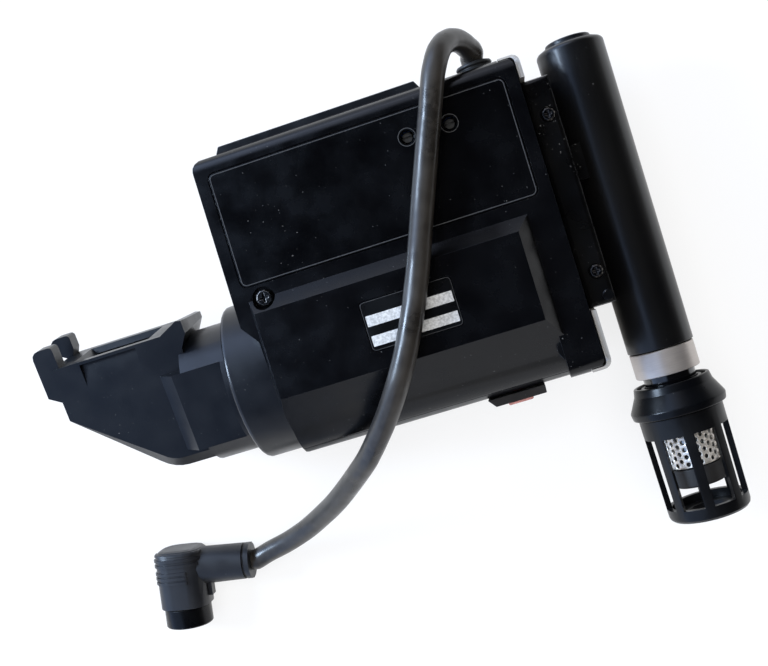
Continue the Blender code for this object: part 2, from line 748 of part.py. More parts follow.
def bulge_ends(inset):
    """What the two sloped ends of the bulge take away above the cover's level."""
    level, high = COVER_LEVEL - inset, bulge_level + OVERRUN
    left = collar_seat + BULGE_LEFT_INSET + inset
    right = right_wall - BULGE_RIGHT_INSET - inset
    left_lean = BULGE_LEFT_RUN * (BULGE_RISE + OVERRUN + inset) / BULGE_RISE
    right_lean = BULGE_RIGHT_RUN * (BULGE_RISE + OVERRUN + inset) / BULGE_RISE
    outlines = [[(left_wall - OVERRUN * 2, level), (left, level), (left + left_lean, high),
                 (left_wall - OVERRUN * 2, high)],
                [(right_wall + OVERRUN * 2, level), (right, level), (right - right_lean, high),
                 (right_wall + OVERRUN * 2, high)]]
    return [prism(outline, front_wall - OVERRUN, back_wall + OVERRUN, "Y") for outline in outlines]


def housing_solid(inset, with_cheek):
    body = prism(side_outline(inset), left_wall - OVERRUN, right_wall + OVERRUN, "X")
    body = cut(body, *bulge_ends(inset))
    if with_cheek:
        body = join(body, prism(cheek_outline(inset), right_wall - CHEEK_WIDTH, right_wall + OVERRUN, "X"))
    return keep(body, prism(plan_outline(inset), -OVERRUN, bulge_level + OVERRUN, "Z"))


def hollow_housing():
    shell = cut(housing_solid(0, True), housing_solid(WALL, False))
    rabbet = PLATE_FLANGE_THICKNESS - PLATE_FLANGE_PROUD + CLEAR
    rabbet_x = plate_inner - PLATE_FLANGE_LENGTH - CLEAR
    for side in (1, -1):
        inner, outer = side * (back_wall - rabbet), side * (back_wall + OVERRUN)
        shell = cut(shell, block((rabbet_x, min(inner, outer), -OVERRUN),
                                 (right_wall + OVERRUN, max(inner, outer), bulge_level + OVERRUN)))
    return shell


def collar_room():
    """What the collar's seat and spigot take out of the left wall."""
    seat = rod_profile(COLLAR_RADIUS + CLEAR, left_wall - OVERRUN, collar_seat)
    spigot_hole = rod_profile(COLLAR_SPIGOT_RADIUS + CLEAR, left_wall - OVERRUN,
                              collar_seat + WALL + NOTCH_TAPER + BULGE_LEFT_INSET)
    return [turned(seat, "X", tube_axis, FINE_STEPS), turned(spigot_hole, "X", tube_axis, FINE_STEPS)]


WELLS = [(left_wall + WELL_INSET, back_wall - WELL_INSET), (right_wall - WELL_INSET, back_wall - WELL_RIGHT_DROP),
         (right_wall - WELL_INSET, front_wall + WELL_FRONT_INSET)]
SCREWED_PILLARS = [(board_left + PILLAR_INSET, board_back - PILLAR_INSET),
                   (board_right - PILLAR_INSET, board_front + PILLAR_INSET)]
PEGGED_PILLARS = [(board_left + PILLAR_INSET, board_front + PILLAR_INSET),
                  (board_right - PILLAR_INSET, board_back - PILLAR_INSET)]


def rods(places, radius, low, high, axis="Z", steps=SCREW_STEPS):
    """Equal round rods at several places, as one set that joins or cuts a solid in one go."""
    return merged([turned(rod_profile(radius, low, high), axis, place, steps) for place in places])


def plaque(sides, radius, spare=0):
    """The rounded outline of a flat plate, or of its place with some room round it."""
    left, right, front, back = sides
    return rounded(rectangle(left - spare, right + spare, front - spare, back + spare), [radius + spare] * 4)


def make_rear_shell(shell):
    spot_x, spot_y = cover_screw_spot
    above = PARTING_LEVEL + OVERRUN
    post_top = BOARD_LEVEL - CLEAR
    half_ledge = SCREW_BOSS_RADIUS - CLEAR
    wells = rods(WELLS, WELL_RADIUS + WELL_WALL, WALL / 2, above, steps=SMALL_STEPS)
    ledge = block((left_wall + WALL / 2, spot_y - half_ledge, PARTING_LEVEL - LEDGE_DEPTH),
                  (spot_x + half_ledge, spot_y + half_ledge, above))
    pillars = rods(SCREWED_PILLARS + PEGGED_PILLARS, PILLAR_RADIUS, WALL / 2, post_top)
    pegs = rods(PEGGED_PILLARS, BOARD_SCREW_SHAFT, post_top - OVERRUN, post_top + BOARD_THICKNESS * 2)
    half = join(shell, wells, ledge, pillars, pegs)
    half = cut(half, block((left_wall - OVERRUN, front_wall - OVERRUN, PARTING_LEVEL),
                           (right_wall + OVERRUN, back_wall + OVERRUN, bulge_level + OVERRUN)))
    half = cut(half, *collar_room(), rods(WELLS, WELL_RADIUS, -OVERRUN, WELL_DEPTH, steps=SMALL_STEPS),
               rods(WELLS + [cover_screw_spot], SCREW_SHAFT_RADIUS + CLEAR, PARTING_LEVEL - COVER_SCREW_LENGTH, above),
               rods(SCREWED_PILLARS, BOARD_SCREW_SHAFT + CLEAR, post_top - BOARD_SCREW_LENGTH, post_top + OVERRUN),
               rods([(gland_x, GLAND_Z)], GLAND_SPIGOT_RADIUS + CLEAR, back_wall - WALL - OVERRUN,
                    back_wall + OVERRUN, "Y", SMALL_STEPS),
               rods([(lamp_x, lamp_z)], TALLY_LAMP_RADIUS + CLEAR, front_wall - OVERRUN,
                    front_wall + WALL + OVERRUN, "Y"))
    named("rear_shell", half, BLACK, 0.42)


def make_front_cover(shell):
    inner_level = COVER_LEVEL - WALL
    below = PARTING_LEVEL - OVERRUN
    half = join(shell, rods(WELLS, SCREW_BOSS_RADIUS, below, inner_level + WALL / 2, steps=SMALL_STEPS),
                rods([cover_screw_spot], COVER_BOSS_RADIUS, below, COVER_LEVEL - COVER_BOSS_SINK, steps=SMALL_STEPS))
    half = cut(half, block((left_wall - OVERRUN, front_wall - OVERRUN, -OVERRUN),
                           (right_wall + OVERRUN, back_wall + OVERRUN, PARTING_LEVEL + CLEAR)))
    label_place = plaque(label_sides, LABEL_RADIUS, CLEAR)
    sticker_place = plaque(sticker_sides, STICKER_RADIUS, CLEAR)
    label_floor = COVER_LEVEL - LABEL_SINK - LABEL_THICKNESS - CLEAR
    half = cut(half, *collar_room(), prism(label_place, label_floor, COVER_LEVEL + OVERRUN, "Z"),
               prism(sticker_place, bulge_level - STICKER_THICKNESS - CLEAR, bulge_level + OVERRUN, "Z"),
               rods([cover_screw_spot], COVER_RECESS_RADIUS, COVER_LEVEL - COVER_RECESS_DEPTH, bulge_level + OVERRUN,
                    steps=SMALL_STEPS),
               rods([(focus_x, trimmer_y), (bright_x, trimmer_y)], TRIMMER_HOLE_RADIUS, inner_level - OVERRUN,
                    COVER_LEVEL, steps=SMALL_STEPS),
               rods(WELLS, SCREW_SHAFT_RADIUS + CLEAR, below, inner_level - SCREW_HOLE_END),
               rods([cover_screw_spot], SCREW_SHAFT_RADIUS + CLEAR, below, COVER_LEVEL))
    named("front_cover", half, BLACK, 0.42)


def make_label_and_sticker():
    label = prism(plaque(label_sides, LABEL_RADIUS), COVER_LEVEL - LABEL_SINK - LABEL_THICKNESS, COVER_LEVEL - LABEL_SINK, "Z")
    for x in (focus_x, bright_x):
        label = cut(label, turned(rod_profile(TRIMMER_HOLE_RADIUS, COVER_LEVEL - OVERRUN, COVER_LEVEL + OVERRUN),
                                  "Z", (x, trimmer_y), SMALL_STEPS))
    named("label_plate", label, DEEP_BLACK, 0.5)
    sticker = prism(plaque(sticker_sides, STICKER_RADIUS), bulge_level - STICKER_THICKNESS, bulge_level, "Z")
    named("data_sticker", sticker, DEEP_BLACK, 0.35)


# Screws
def pan_screw(place, head_radius, head_height, shaft_radius, length, up=1):
    """A pan-head screw with a cross recess; place is the top of its head, and up is 1 or -1."""
    x, y, top = place
    lip = head_height / 3
    profile = [(0, 0), (head_radius - lip, 0), (head_radius, -lip), (head_radius, -head_height),
               (shaft_radius, -head_height), (shaft_radius, -length), (0, -length)]
    screw = turned(profile, "Z", (0, 0), SCREW_STEPS)
    arm, half_width = head_radius / 2, head_radius / 9
    for a, b in ((arm, half_width), (half_width, arm)):
        screw = cut(screw, block((-a, -b, -head_height / 2), (a, b, OVERRUN)))
    if up < 0:
        screw = moved(screw, Matrix.Rotation(math.pi, 4, "X"))
    return moved(screw, Matrix.Translation((x, y, top)))


def make_screws():
    screw_seat = COVER_LEVEL - COVER_RECESS_DEPTH + CLEAR
    cover_screw = pan_screw((*cover_screw_spot, screw_seat + COVER_SCREW_HEAD), COVER_SCREW_RADIUS,
                            COVER_SCREW_HEAD, SCREW_SHAFT_RADIUS, COVER_SCREW_LENGTH)
    named("cover_screw", cover_screw, BLACK_SCREW, 0.3, 0.9)
    for number, (x, y) in enumerate(WELLS, 1):
        screw = pan_screw((x, y, WELL_DEPTH - CLEAR - BACK_SCREW_HEAD), BACK_SCREW_RADIUS, BACK_SCREW_HEAD,
                          SCREW_SHAFT_RADIUS, BACK_SCREW_LENGTH, -1)
        named(f"back_screw_{number}", screw, BLACK_SCREW, 0.3, 0.9)
    for number, (x, y) in enumerate(SCREWED_PILLARS, 1):
        screw = pan_screw((x, y, BOARD_LEVEL + BOARD_THICKNESS + CLEAR + BOARD_SCREW_HEAD), BOARD_SCREW_RADIUS,
                          BOARD_SCREW_HEAD, BOARD_SCREW_SHAFT, BOARD_SCREW_LENGTH)
        named(f"board_screw_{number}", screw, STEEL, 0.3, 1.0)
    for number, (x, y) in enumerate(bracket_screw_places(), 1):
        screw = pan_screw((x, y, BRACKET_TOP - BRACKET_SCREW_SINK + CLEAR + BRACKET_SCREW_HEAD),
                          BRACKET_SCREW_RADIUS, BRACKET_SCREW_HEAD, BRACKET_SCREW_SHAFT, BRACKET_SCREW_LENGTH)
        named(f"bracket_screw_{number}", screw, BLACK_SCREW, 0.3, 0.9)


# Pieces on the outside of the housing
def make_end_plate():
    outer = back_wall + PLATE_FLANGE_PROUD
    inner = outer - PLATE_FLANGE_THICKNESS
    left = plate_inner - PLATE_FLANGE_LENGTH
    bend = PLATE_BEND_RADIUS
    inside_bend = max(bend - PLATE_THICKNESS, 0)
    folded = rounded([(left, -outer), (plate_outer, -outer), (plate_outer, outer), (left, outer), (left, inner),
                      (plate_inner, inner), (plate_inner, -inner), (left, -inner)],
                     [0, bend, bend, 0, 0, inside_bend, inside_bend, 0], 4)
    plate = prism(folded, PLATE_EDGE_INSET, COVER_LEVEL - PLATE_EDGE_INSET, "Z")
    face = rounded(rectangle(-outer, outer, PLATE_EDGE_INSET, COVER_LEVEL - PLATE_EDGE_INSET),
                   [PLATE_CORNER_RADIUS] * 4)
    plate = keep(plate, prism(face, left - OVERRUN, plate_outer + OVERRUN, "X"))
    lip_room = block((left - OVERRUN, bracket_front - CLEAR, BRACKET_TOP - BRACKET_LIP - CLEAR),
                     (plate_outer + OVERRUN, bracket_back + CLEAR, COVER_LEVEL + OVERRUN))
    plate = cut(plate, lip_room)
    named("end_plate", plate, ALUMINIUM, 0.35, 1.0)


def make_rail():
    near, far = back_wall + CLEAR, back_wall + CLEAR + RAIL_THICKNESS
    left, right = left_wall + RAIL_LEFT_INSET, right_wall - RAIL_RIGHT_INSET
    chamfered = [(left, near), (right, near), (right - RAIL_CHAMFER, far), (left + RAIL_CHAMFER, far)]
    named("rail_plate", prism(chamfered, RAIL_BOTTOM, RAIL_BOTTOM + RAIL_WIDTH, "Z"), BLACK, 0.4)


def gland_face():
    return back_wall + CLEAR + GLAND_FLANGE_LENGTH + GLAND_GROOVE_LENGTH + GLAND_LIP_LENGTH


def make_gland():
    start = back_wall + CLEAR
    flange = start + GLAND_FLANGE_LENGTH
    groove = flange + GLAND_GROOVE_LENGTH
    face = gland_face()
    inside = back_wall - WALL - CLEAR
    edge = GLAND_LIP_LENGTH / 3
    profile = [(0, inside), (GLAND_SPIGOT_RADIUS, inside), (GLAND_SPIGOT_RADIUS, start),
               (GLAND_FLANGE_RADIUS, start), (GLAND_FLANGE_RADIUS, flange - edge),
               (GLAND_FLANGE_RADIUS - edge, flange), (GLAND_GROOVE_RADIUS, flange),
               (GLAND_GROOVE_RADIUS, groove), (GLAND_LIP_RADIUS, groove), (GLAND_LIP_RADIUS, face - edge),
               (GLAND_LIP_RADIUS - edge, face), (0, face)]
    named("cord_gland", turned(profile, "Y", (gland_x, GLAND_Z), SMALL_STEPS), RUBBER, 0.5)
    nut = rod_profile(GLAND_NUT_RADIUS, inside - CLEAR - GLAND_NUT_LENGTH, inside - CLEAR)
    named("gland_nut", turned(nut, "Y", (gland_x, GLAND_Z), 6), STEEL, 0.4, 1.0)


lamp_x = tally_lens_left + TALLY_LENS_LENGTH / 2
lamp_z = TALLY_BOTTOM + TALLY_WIDTH / 2


def make_tally():
    near = front_wall - CLEAR
    far = near - TALLY_DEPTH
    lens_far = far - TALLY_LENS_PROUD
    lens_near = lens_far + TALLY_LENS_THICKNESS
    outline = [(tally_left, near), (tally_left + TALLY_SLOPE, far), (tally_left + TALLY_LENGTH, far),
               (tally_left + TALLY_LENGTH, near)]
    holder = prism(outline, TALLY_BOTTOM, TALLY_BOTTOM + TALLY_WIDTH, "Z")
    half_width = TALLY_LENS_WIDTH / 2
    holder = cut(holder, block((tally_lens_left - CLEAR, far - OVERRUN, lamp_z - half_width - CLEAR),
                               (tally_lens_left + TALLY_LENS_LENGTH + CLEAR, lens_near + CLEAR,
                                lamp_z + half_width + CLEAR)),
                 turned(rod_profile(TALLY_LAMP_RADIUS + CLEAR, far - OVERRUN, near + OVERRUN), "Y",
                        (lamp_x, lamp_z), SCREW_STEPS))
    named("tally_housing", holder, BLACK, 0.4)
    lens = block((tally_lens_left, lens_far, lamp_z - half_width),
                 (tally_lens_left + TALLY_LENS_LENGTH, lens_near, lamp_z + half_width))
    named("tally_lens", lens, LENS_RED, 0.2)
    lamp_tip = lens_near + CLEAR
    dome = [(TALLY_LAMP_RADIUS * out, lamp_tip + TALLY_LAMP_RADIUS * back) for out, back in LAMP_DOME_SHARES]
    lamp = turned(dome + [(TALLY_LAMP_RADIUS, lamp_tip + TALLY_LAMP_LENGTH), (0, lamp_tip + TALLY_LAMP_LENGTH)], "Y",
                  (lamp_x, lamp_z), SCREW_STEPS)
    named("tally_lamp", lamp, LAMP_RED, 0.2)
    inside = front_wall + WALL + CLEAR
    socket = turned(tube_profile(TALLY_HOLDER_RADIUS, TALLY_LAMP_RADIUS + CLEAR, inside,
                                 inside + TALLY_HOLDER_LENGTH), "Y", (lamp_x, lamp_z), SCREW_STEPS)
    named("lamp_holder", socket, CREAM, 0.6)


# Collar and mirror box, which turns about the picture tube's axis
def make_collar():
    right = collar_seat - CLEAR
    left = right - COLLAR_LENGTH
    inner_end = collar_seat + COLLAR_SPIGOT_LENGTH
    edge = COLLAR_EDGE
    profile = [(COLLAR_BORE_RADIUS, left), (COLLAR_RADIUS - edge, left),
               (COLLAR_RADIUS - edge / 3, left + edge / 3), (COLLAR_RADIUS, left + edge),
               (COLLAR_RADIUS, right), (COLLAR_SPIGOT_RADIUS, right), (COLLAR_SPIGOT_RADIUS, inner_end),
               (COLLAR_BORE_RADIUS, inner_end)]
    named("eyepiece_collar", turned(profile, "X", tube_axis, FINE_STEPS), BLACK, 0.38)


turret = empty("turret_axis", (0, tube_axis_y, TUBE_AXIS_Z), whole)
turret.rotation_euler = (TILT, 0, 0)
neck_end = collar_seat + COLLAR_SPIGOT_LENGTH + CLEAR


def box_side(inset):
    """The mirror box seen across its axis: straight left wall, 45 degree back and rounded belly."""
    left = box_left + inset
    floor = BOX_FLOOR + inset
    slant = inset * (math.sqrt(2) - 1)
    foot = (left, BOX_LEFT_FOOT + slant)
    reach = foot[1] - floor
    return left, floor, foot, (left + reach, floor)


def make_mirror_box():
    left, floor, foot, toe = box_side(0)
    right = post_right
    side = rounded([(left, RIM_HEIGHT), foot, toe, (right, floor), (right, RIM_HEIGHT)],
                   [0, 0, BOX_BELLY_RADIUS, 0, 0])
    body = prism(side, -BOX_HALF_DEPTH, BOX_HALF_DEPTH, "Z")
    chamfer_from = foot[0] + (foot[1] - floor) / 2
    body = soften(body, BOX_FLOOR_CHAMFER,
                  lambda middle, way: (middle.x > chamfer_from and middle.y < floor / 2
                                       and not lies_along(way, "Z") and abs(middle.z) > BOX_HALF_DEPTH - CLEAR), 1)
    ledge = block((post_left + POST_SHELF, RIM_HEIGHT - POST_FOOT, -BOX_HALF_DEPTH - OVERRUN),
                  (right + OVERRUN, RIM_HEIGHT + OVERRUN, BOX_HALF_DEPTH + OVERRUN))
    body = cut(body, ledge)
    body = join(body, loft(post_outline(POST_FAR_RISE), -BOX_HALF_DEPTH, post_outline(POST_RISE), BOX_HALF_DEPTH))
    bevel = PAD_HALF_DEPTH - BOX_HALF_DEPTH
    pad_right = pad_left + PAD_LENGTH
    pad = prism([(pad_left - bevel, -BOX_HALF_DEPTH), (pad_left, -PAD_HALF_DEPTH), (pad_right, -PAD_HALF_DEPTH),
                 (pad_right, PAD_HALF_DEPTH), (pad_left, PAD_HALF_DEPTH), (pad_left - bevel, BOX_HALF_DEPTH)],
                -PAD_HALF_HEIGHT, PAD_HALF_HEIGHT, "Y")
    body = join(body, pad)
    body = join(body, turned(rod_profile(NECK_RADIUS, neck_left, neck_end), "X", (0, 0), FINE_STEPS))
    flat = NECK_RADIUS + OVERRUN
    for direction in (1, -1):
        low, high = sorted((direction * PAD_HALF_DEPTH, direction * flat))
        body = cut(body, block((neck_left - OVERRUN, -flat, low), (pad_right, flat, high)))
    for direction in (1, -1):
        body = join(body, make_ear(direction))
    body = hollow_box(body)
    for direction in (1, -1):
        body = cut(body, make_scoop(direction))
    named("mirror_box", body, BLACK, 0.4, parent=turret)


def post_outline(rise):
    """The post beside the window, which stands higher above the rim on the near side."""
    top = RIM_HEIGHT + rise
    return [(post_left, RIM_HEIGHT), (post_left + POST_LENGTH * POST_PEAK_SHARE, top), (post_right, top - CLEAR),
            (post_right, RIM_HEIGHT - POST_SHELF / 4), (post_left + POST_SHELF, RIM_HEIGHT + POST_RISE - POST_FOOT),
            (post_left, RIM_HEIGHT - POST_FOOT)]


def make_ear(direction):
    """One of the two ears that the eyecup's hinge stood between."""
    left = box_left - EAR_OUTREACH
    right = left + EAR_LENGTH
    top = RIM_HEIGHT + EAR_RISE
    foot = RIM_HEIGHT - (EAR_DROP if direction > 0 else EAR_ROUND)
    outline = rounded([(left, foot + EAR_CORNER), (box_left + EAR_ROUND, foot), (right, foot + EAR_CORNER),
                       (right, top), (left, top)], [0, 0, 0, EAR_ROUND, EAR_ROUND * 2], 3)
    outer = direction * (BOX_HALF_DEPTH - EAR_INSET)
    inner = outer - direction * EAR_THICKNESS
    return prism(outline, min(inner, outer), max(inner, outer), "Z")


def hollow_box(body):
    """Opens the inside: the light path, the eyepiece window and the bore round the picture tube."""
    left, floor, foot, toe = box_side(BOX_WALL)
    half_depth = BOX_HALF_DEPTH - BOX_WALL
    inner_right = neck_left + BOX_WALL + OVERRUN
    ceiling = RIM_HEIGHT - WINDOW_FRAME
    shoulder = post_left - BOX_WALL / 2
    side = rounded([(left, ceiling), foot, toe, (inner_right, floor), (inner_right, NECK_BORE_RADIUS - BOX_WALL),
                    (shoulder, ceiling)], [0, 0, BOX_BELLY_RADIUS - BOX_WALL, 0, 0, 0])
    body = cut(body, prism(side, -half_depth, half_depth, "Z"))
    right = window_left + WINDOW_WIDTH
    low = rectangle(window_left, right, -WINDOW_HEIGHT / 2, WINDOW_HEIGHT / 2)
    bevel = WINDOW_BEVEL
    high = rectangle(window_left - bevel, right + bevel, -WINDOW_HEIGHT / 2 - bevel / 2,
                     WINDOW_HEIGHT / 2 + bevel / 2)
    window = prism(low, ceiling - OVERRUN, RIM_HEIGHT + OVERRUN, "Y")
    body = cut(body, window, loft(low, RIM_HEIGHT - bevel, high, RIM_HEIGHT + CLEAR, "Y"))
    start = neck_left + BOX_WALL
    bore = [(0, start), (LIGHT_BORE_RADIUS, start), (LIGHT_BORE_RADIUS, light_bore_end),
            (NECK_BORE_RADIUS, light_bore_end), (NECK_BORE_RADIUS, neck_end + OVERRUN), (0, neck_end + OVERRUN)]
    return cut(body, turned(bore, "X", (0, 0), FINE_STEPS))


def make_scoop(direction):
    """The shallow hollow in each side wall, deepest under the rim."""
    face = direction * BOX_HALF_DEPTH
    deep = face - direction * SCOOP_DEPTH
    outside = face + direction * OVERRUN
    right = scoop_left + SCOOP_LENGTH
    work = bmesh.new()
    foot, top = RIM_HEIGHT - SCOOP_DROP, RIM_HEIGHT - SCOOP_EDGE
    far = [work.verts.new(p) for p in ((scoop_left, foot, face), (right, foot + CLEAR, face),
                                       (right, top, deep), (scoop_left, top, deep))]
    near = [work.verts.new((v.co.x, v.co.y, outside)) for v in far]
    work.faces.new(far)
    work.faces.new(near)
    for i in range(4):
        j = (i + 1) % 4
        work.faces.new((far[i], far[j], near[j], near[i]))
    return made(work)


def make_mirror():
    """The glass lies on the slanted back and is held by a sprung frame."""
    left, floor, foot, toe = box_side(BOX_WALL)
    across = BOX_HALF_DEPTH - BOX_WALL - MIRROR_SIDE_GAP
    slope = Matrix.Rotation(-math.pi / 4, 4, "Z")
    shift = BOX_BELLY_RADIUS / 4
    middle = Vector(((foot[0] + toe[0] - shift) / 2, (foot[1] + toe[1] + shift) / 2, 0))
    half = MIRROR_LENGTH / 2
    glass = block((-half, CLEAR, -across), (half, CLEAR + MIRROR_THICKNESS, across))
    place = Matrix.Translation(middle) @ slope
    named("mirror", moved(glass, place), SILVER, 0.03, 1.0, turret)
    seat = CLEAR + MIRROR_THICKNESS + CLEAR
    inside = half - FRAME_WIDTH
    frame = block((-half, seat, -across), (half, seat + FRAME_THICKNESS, across))
    frame = cut(frame, block((-inside, seat - OVERRUN, -across + FRAME_WIDTH),
                             (inside, seat + OVERRUN, across - FRAME_WIDTH)))
    named("mirror_frame", moved(frame, place), STEEL, 0.35, 1.0, turret)


def make_retainer():
    left = neck_end + CLEAR
    ring = turned(tube_profile(RETAINER_RADIUS, NECK_BORE_RADIUS, left, left + RETAINER_LENGTH), "X", (0, 0),
                  FINE_STEPS)
    named("retaining_ring", ring, STEEL, 0.35, 1.0, turret)


# Picture tube
funnel_start = bulb_front + BULB_LENGTH
funnel_end = funnel_start + FUNNEL_LENGTH


def make_picture_tube():
    edge = BULB_EDGE
    front = bulb_front
    profile = [(0, front), (BULB_RADIUS / 2, front + FACE_CROWN * FACE_HALFWAY_SHARE),
               (BULB_RADIUS - edge, front + FACE_CROWN), (BULB_RADIUS, front + FACE_CROWN + edge)]
    profile += [(BULB_RADIUS * out, funnel_start + FUNNEL_LENGTH * along_it)
                for out, along_it in FUNNEL_SHARES + [(ANODE_SHOULDER_SHARE, ANODE_PLACE_SHARE)]]
    profile += [(TUBE_NECK_RADIUS, funnel_end), (TUBE_NECK_RADIUS, tube_end), (0, tube_end)]
    named("picture_tube", turned(profile, "X", tube_axis), GLASS, 0.08)
    inner = BULB_RADIUS + CLEAR
    start = funnel_start - CLAMP_LENGTH + CLAMP_SETBACK * 2
    start = max(start, neck_end + CLEAR + RETAINER_LENGTH + CLAMP_SETBACK)
    clamp = turned(tube_profile(inner + CLAMP_WALL, inner, start, start + CLAMP_LENGTH), "X", tube_axis)
    foot = block((start, tube_axis_y - CLAMP_FOOT_WIDTH / 2, WALL + CLEAR),
                 (start + CLAMP_LENGTH, tube_axis_y + CLAMP_FOOT_WIDTH / 2, TUBE_AXIS_Z - inner + CLAMP_WALL))
    foot = cut(foot, turned(rod_profile(inner, start - OVERRUN, start + CLAMP_LENGTH + OVERRUN), "X", tube_axis))
    named("tube_clamp", join(clamp, foot), GREY, 0.6)


def make_yoke():
    bore = TUBE_NECK_RADIUS + CLEAR
    front = funnel_end + YOKE_FRONT_GAP
    end = front + YOKE_LENGTH
    core = [(bore, front), (YOKE_RADIUS - YOKE_FLARE, front), (YOKE_RADIUS, front + YOKE_FLARE),
            (YOKE_RADIUS, end - YOKE_FLARE), (YOKE_RADIUS - YOKE_FLARE, end), (bore, end)]
    named("deflection_yoke", turned(core, "X", tube_axis), FERRITE, 0.6)
    coil_start = end + CLEAR
    coil = [(bore, coil_start), (YOKE_COIL_RADIUS, coil_start), (YOKE_COIL_RADIUS, coil_start + YOKE_COIL_LENGTH),
            (bore, coil_start + YOKE_COIL_LENGTH)]
    named("yoke_coil", turned(coil, "X", tube_axis), COPPER, 0.4, 0.6)
    low = coil_start + YOKE_COIL_LENGTH + CLEAR
    high = low + CENTRING_LENGTH
    ring = turned(tube_profile(CENTRING_RADIUS, bore, low, high), "X", tube_axis, SMALL_STEPS)
    tab = block((low, tube_axis_y - CENTRING_TAB / 2, TUBE_AXIS_Z + (CENTRING_RADIUS + bore) / 2),
                (high, tube_axis_y + CENTRING_TAB / 2, TUBE_AXIS_Z + CENTRING_RADIUS + CENTRING_TAB))
    named("centring_ring", join(ring, tab), FERRITE, 0.5)


def make_tube_socket():
    inside = TUBE_NECK_RADIUS + CLEAR
    start = tube_end - SOCKET_LENGTH / 2
    end = tube_end + CLEAR
    profile = [(0, end), (inside, end), (inside, start), (SOCKET_RADIUS, start),
               (SOCKET_RADIUS, end + SOCKET_LENGTH / 2), (0, end + SOCKET_LENGTH / 2)]
    named("tube_socket", turned(profile, "X", tube_axis, SMALL_STEPS), CREAM, 0.6)
    low = end + SOCKET_LENGTH / 2 + CLEAR
    named("socket_board", turned(rod_profile(SOCKET_BOARD_RADIUS, low, low + BOARD_THICKNESS), "X", tube_axis,
                                 SMALL_STEPS), LAMINATE, 0.5)


# Main board and its components
def make_board():
    board = block((board_left, board_front, BOARD_LEVEL),
                  (board_right, board_back, BOARD_LEVEL + BOARD_THICKNESS))
    for x, y in SCREWED_PILLARS + PEGGED_PILLARS:
        board = cut(board, turned(rod_profile(BOARD_SCREW_SHAFT + CLEAR, BOARD_LEVEL - OVERRUN,
                                              BOARD_LEVEL + OVERRUN * 2), "Z", (x, y), SCREW_STEPS))
    named("main_board", board, LAMINATE, 0.5)


board_top = BOARD_LEVEL + BOARD_THICKNESS + CLEAR


def board_row(share):
    """A place across the board, as a share of its depth."""
    return board_front + (board_back - board_front) * share


def make_components():
    for k in range(2):
        can = turned(rod_profile(CAN_RADIUS, board_top, board_top + CAN_HEIGHT), "Z",
                     (board_left + CAN_INSET + CAN_PITCH * k, board_row(CAN_DEPTH_SHARE)), SMALL_STEPS)
        named(f"capacitor_{k + 1}", can, BLUE, 0.35)
    pillar_room = PILLAR_INSET + PILLAR_RADIUS + COMPONENT_GAP
    left, row = board_left + pillar_room, board_row(CHIP_DEPTH_SHARE)
    chip = block((left, row - CHIP_WIDTH / 2, board_top),
                 (left + CHIP_LENGTH, row + CHIP_WIDTH / 2, board_top + CHIP_HEIGHT))
    named("deflection_chip", soften(chip, COMPONENT_EDGE, lambda middle, way: not lies_along(way, "Z"), 1), BLACK, 0.5)
    right, row = board_right - pillar_room, board_row(HEADER_DEPTH_SHARE)
    header = block((right - HEADER_LENGTH, row - HEADER_WIDTH / 2, board_top),
                   (right, row + HEADER_WIDTH / 2, board_top + HEADER_HEIGHT))
    named("cord_header", soften(header, COMPONENT_EDGE, lambda middle, way: lies_along(way, "Z"), 1), CREAM, 0.5)


def make_flyback():
    top = BOARD_LEVEL - CLEAR
    low = top - FLYBACK_HEIGHT
    right, back = flyback_left + FLYBACK_SIZE_X, flyback_front + FLYBACK_SIZE_Y
    coil = block((flyback_left, flyback_front, low), (right, back, top))
    named("flyback_transformer", soften(coil, COMPONENT_EDGE * 2, lambda middle, way: True, 1), BLACK, 0.45)
    wall = FLYBACK_CORE_WALL
    core = block((flyback_left - CLEAR - wall, flyback_front + wall, low - FLYBACK_CORE_DROP),
                 (right + CLEAR + wall, back - wall, low + FLYBACK_HEIGHT / 2))
    core = cut(core, block((flyback_left - CLEAR, flyback_front, low - CLEAR),
                           (right + CLEAR, back, low + FLYBACK_HEIGHT)))
    named("flyback_core", core, FERRITE, 0.7)


def make_trimmer(name, x):
    """A preset control: a fixed body on the board, and a slotted shaft under the hole in the cover."""
    half = TRIMMER_SIZE / 2
    top = board_top + TRIMMER_BODY_HEIGHT
    body = block((x - half, trimmer_y - half, board_top), (x + half, trimmer_y + half, top))
    named(name + "_trimmer", soften(body, COMPONENT_EDGE, lambda middle, way: lies_along(way, "Z"), 1), BLUE, 0.4)
    pivot = empty(name + "_axis", (x, trimmer_y, 0), whole)
    low = top + CLEAR
    tip = COVER_LEVEL - SHAFT_TIP_BELOW
    flange = low + SHAFT_FLANGE_LENGTH
    shaft = turned([(0, low), (SHAFT_FLANGE_RADIUS, low), (SHAFT_FLANGE_RADIUS, flange), (SHAFT_RADIUS, flange),
                    (SHAFT_RADIUS, tip), (0, tip)], "Z", (0, 0), SMALL_STEPS)
    half_slot = SHAFT_SLOT_WIDTH / 2
    shaft = cut(shaft, block((-SHAFT_RADIUS - OVERRUN, -half_slot, tip - SHAFT_SLOT_DEPTH),
                             (SHAFT_RADIUS + OVERRUN, half_slot, tip + OVERRUN)))
    named(name + "_shaft", shaft, CREAM, 0.4, parent=pivot)


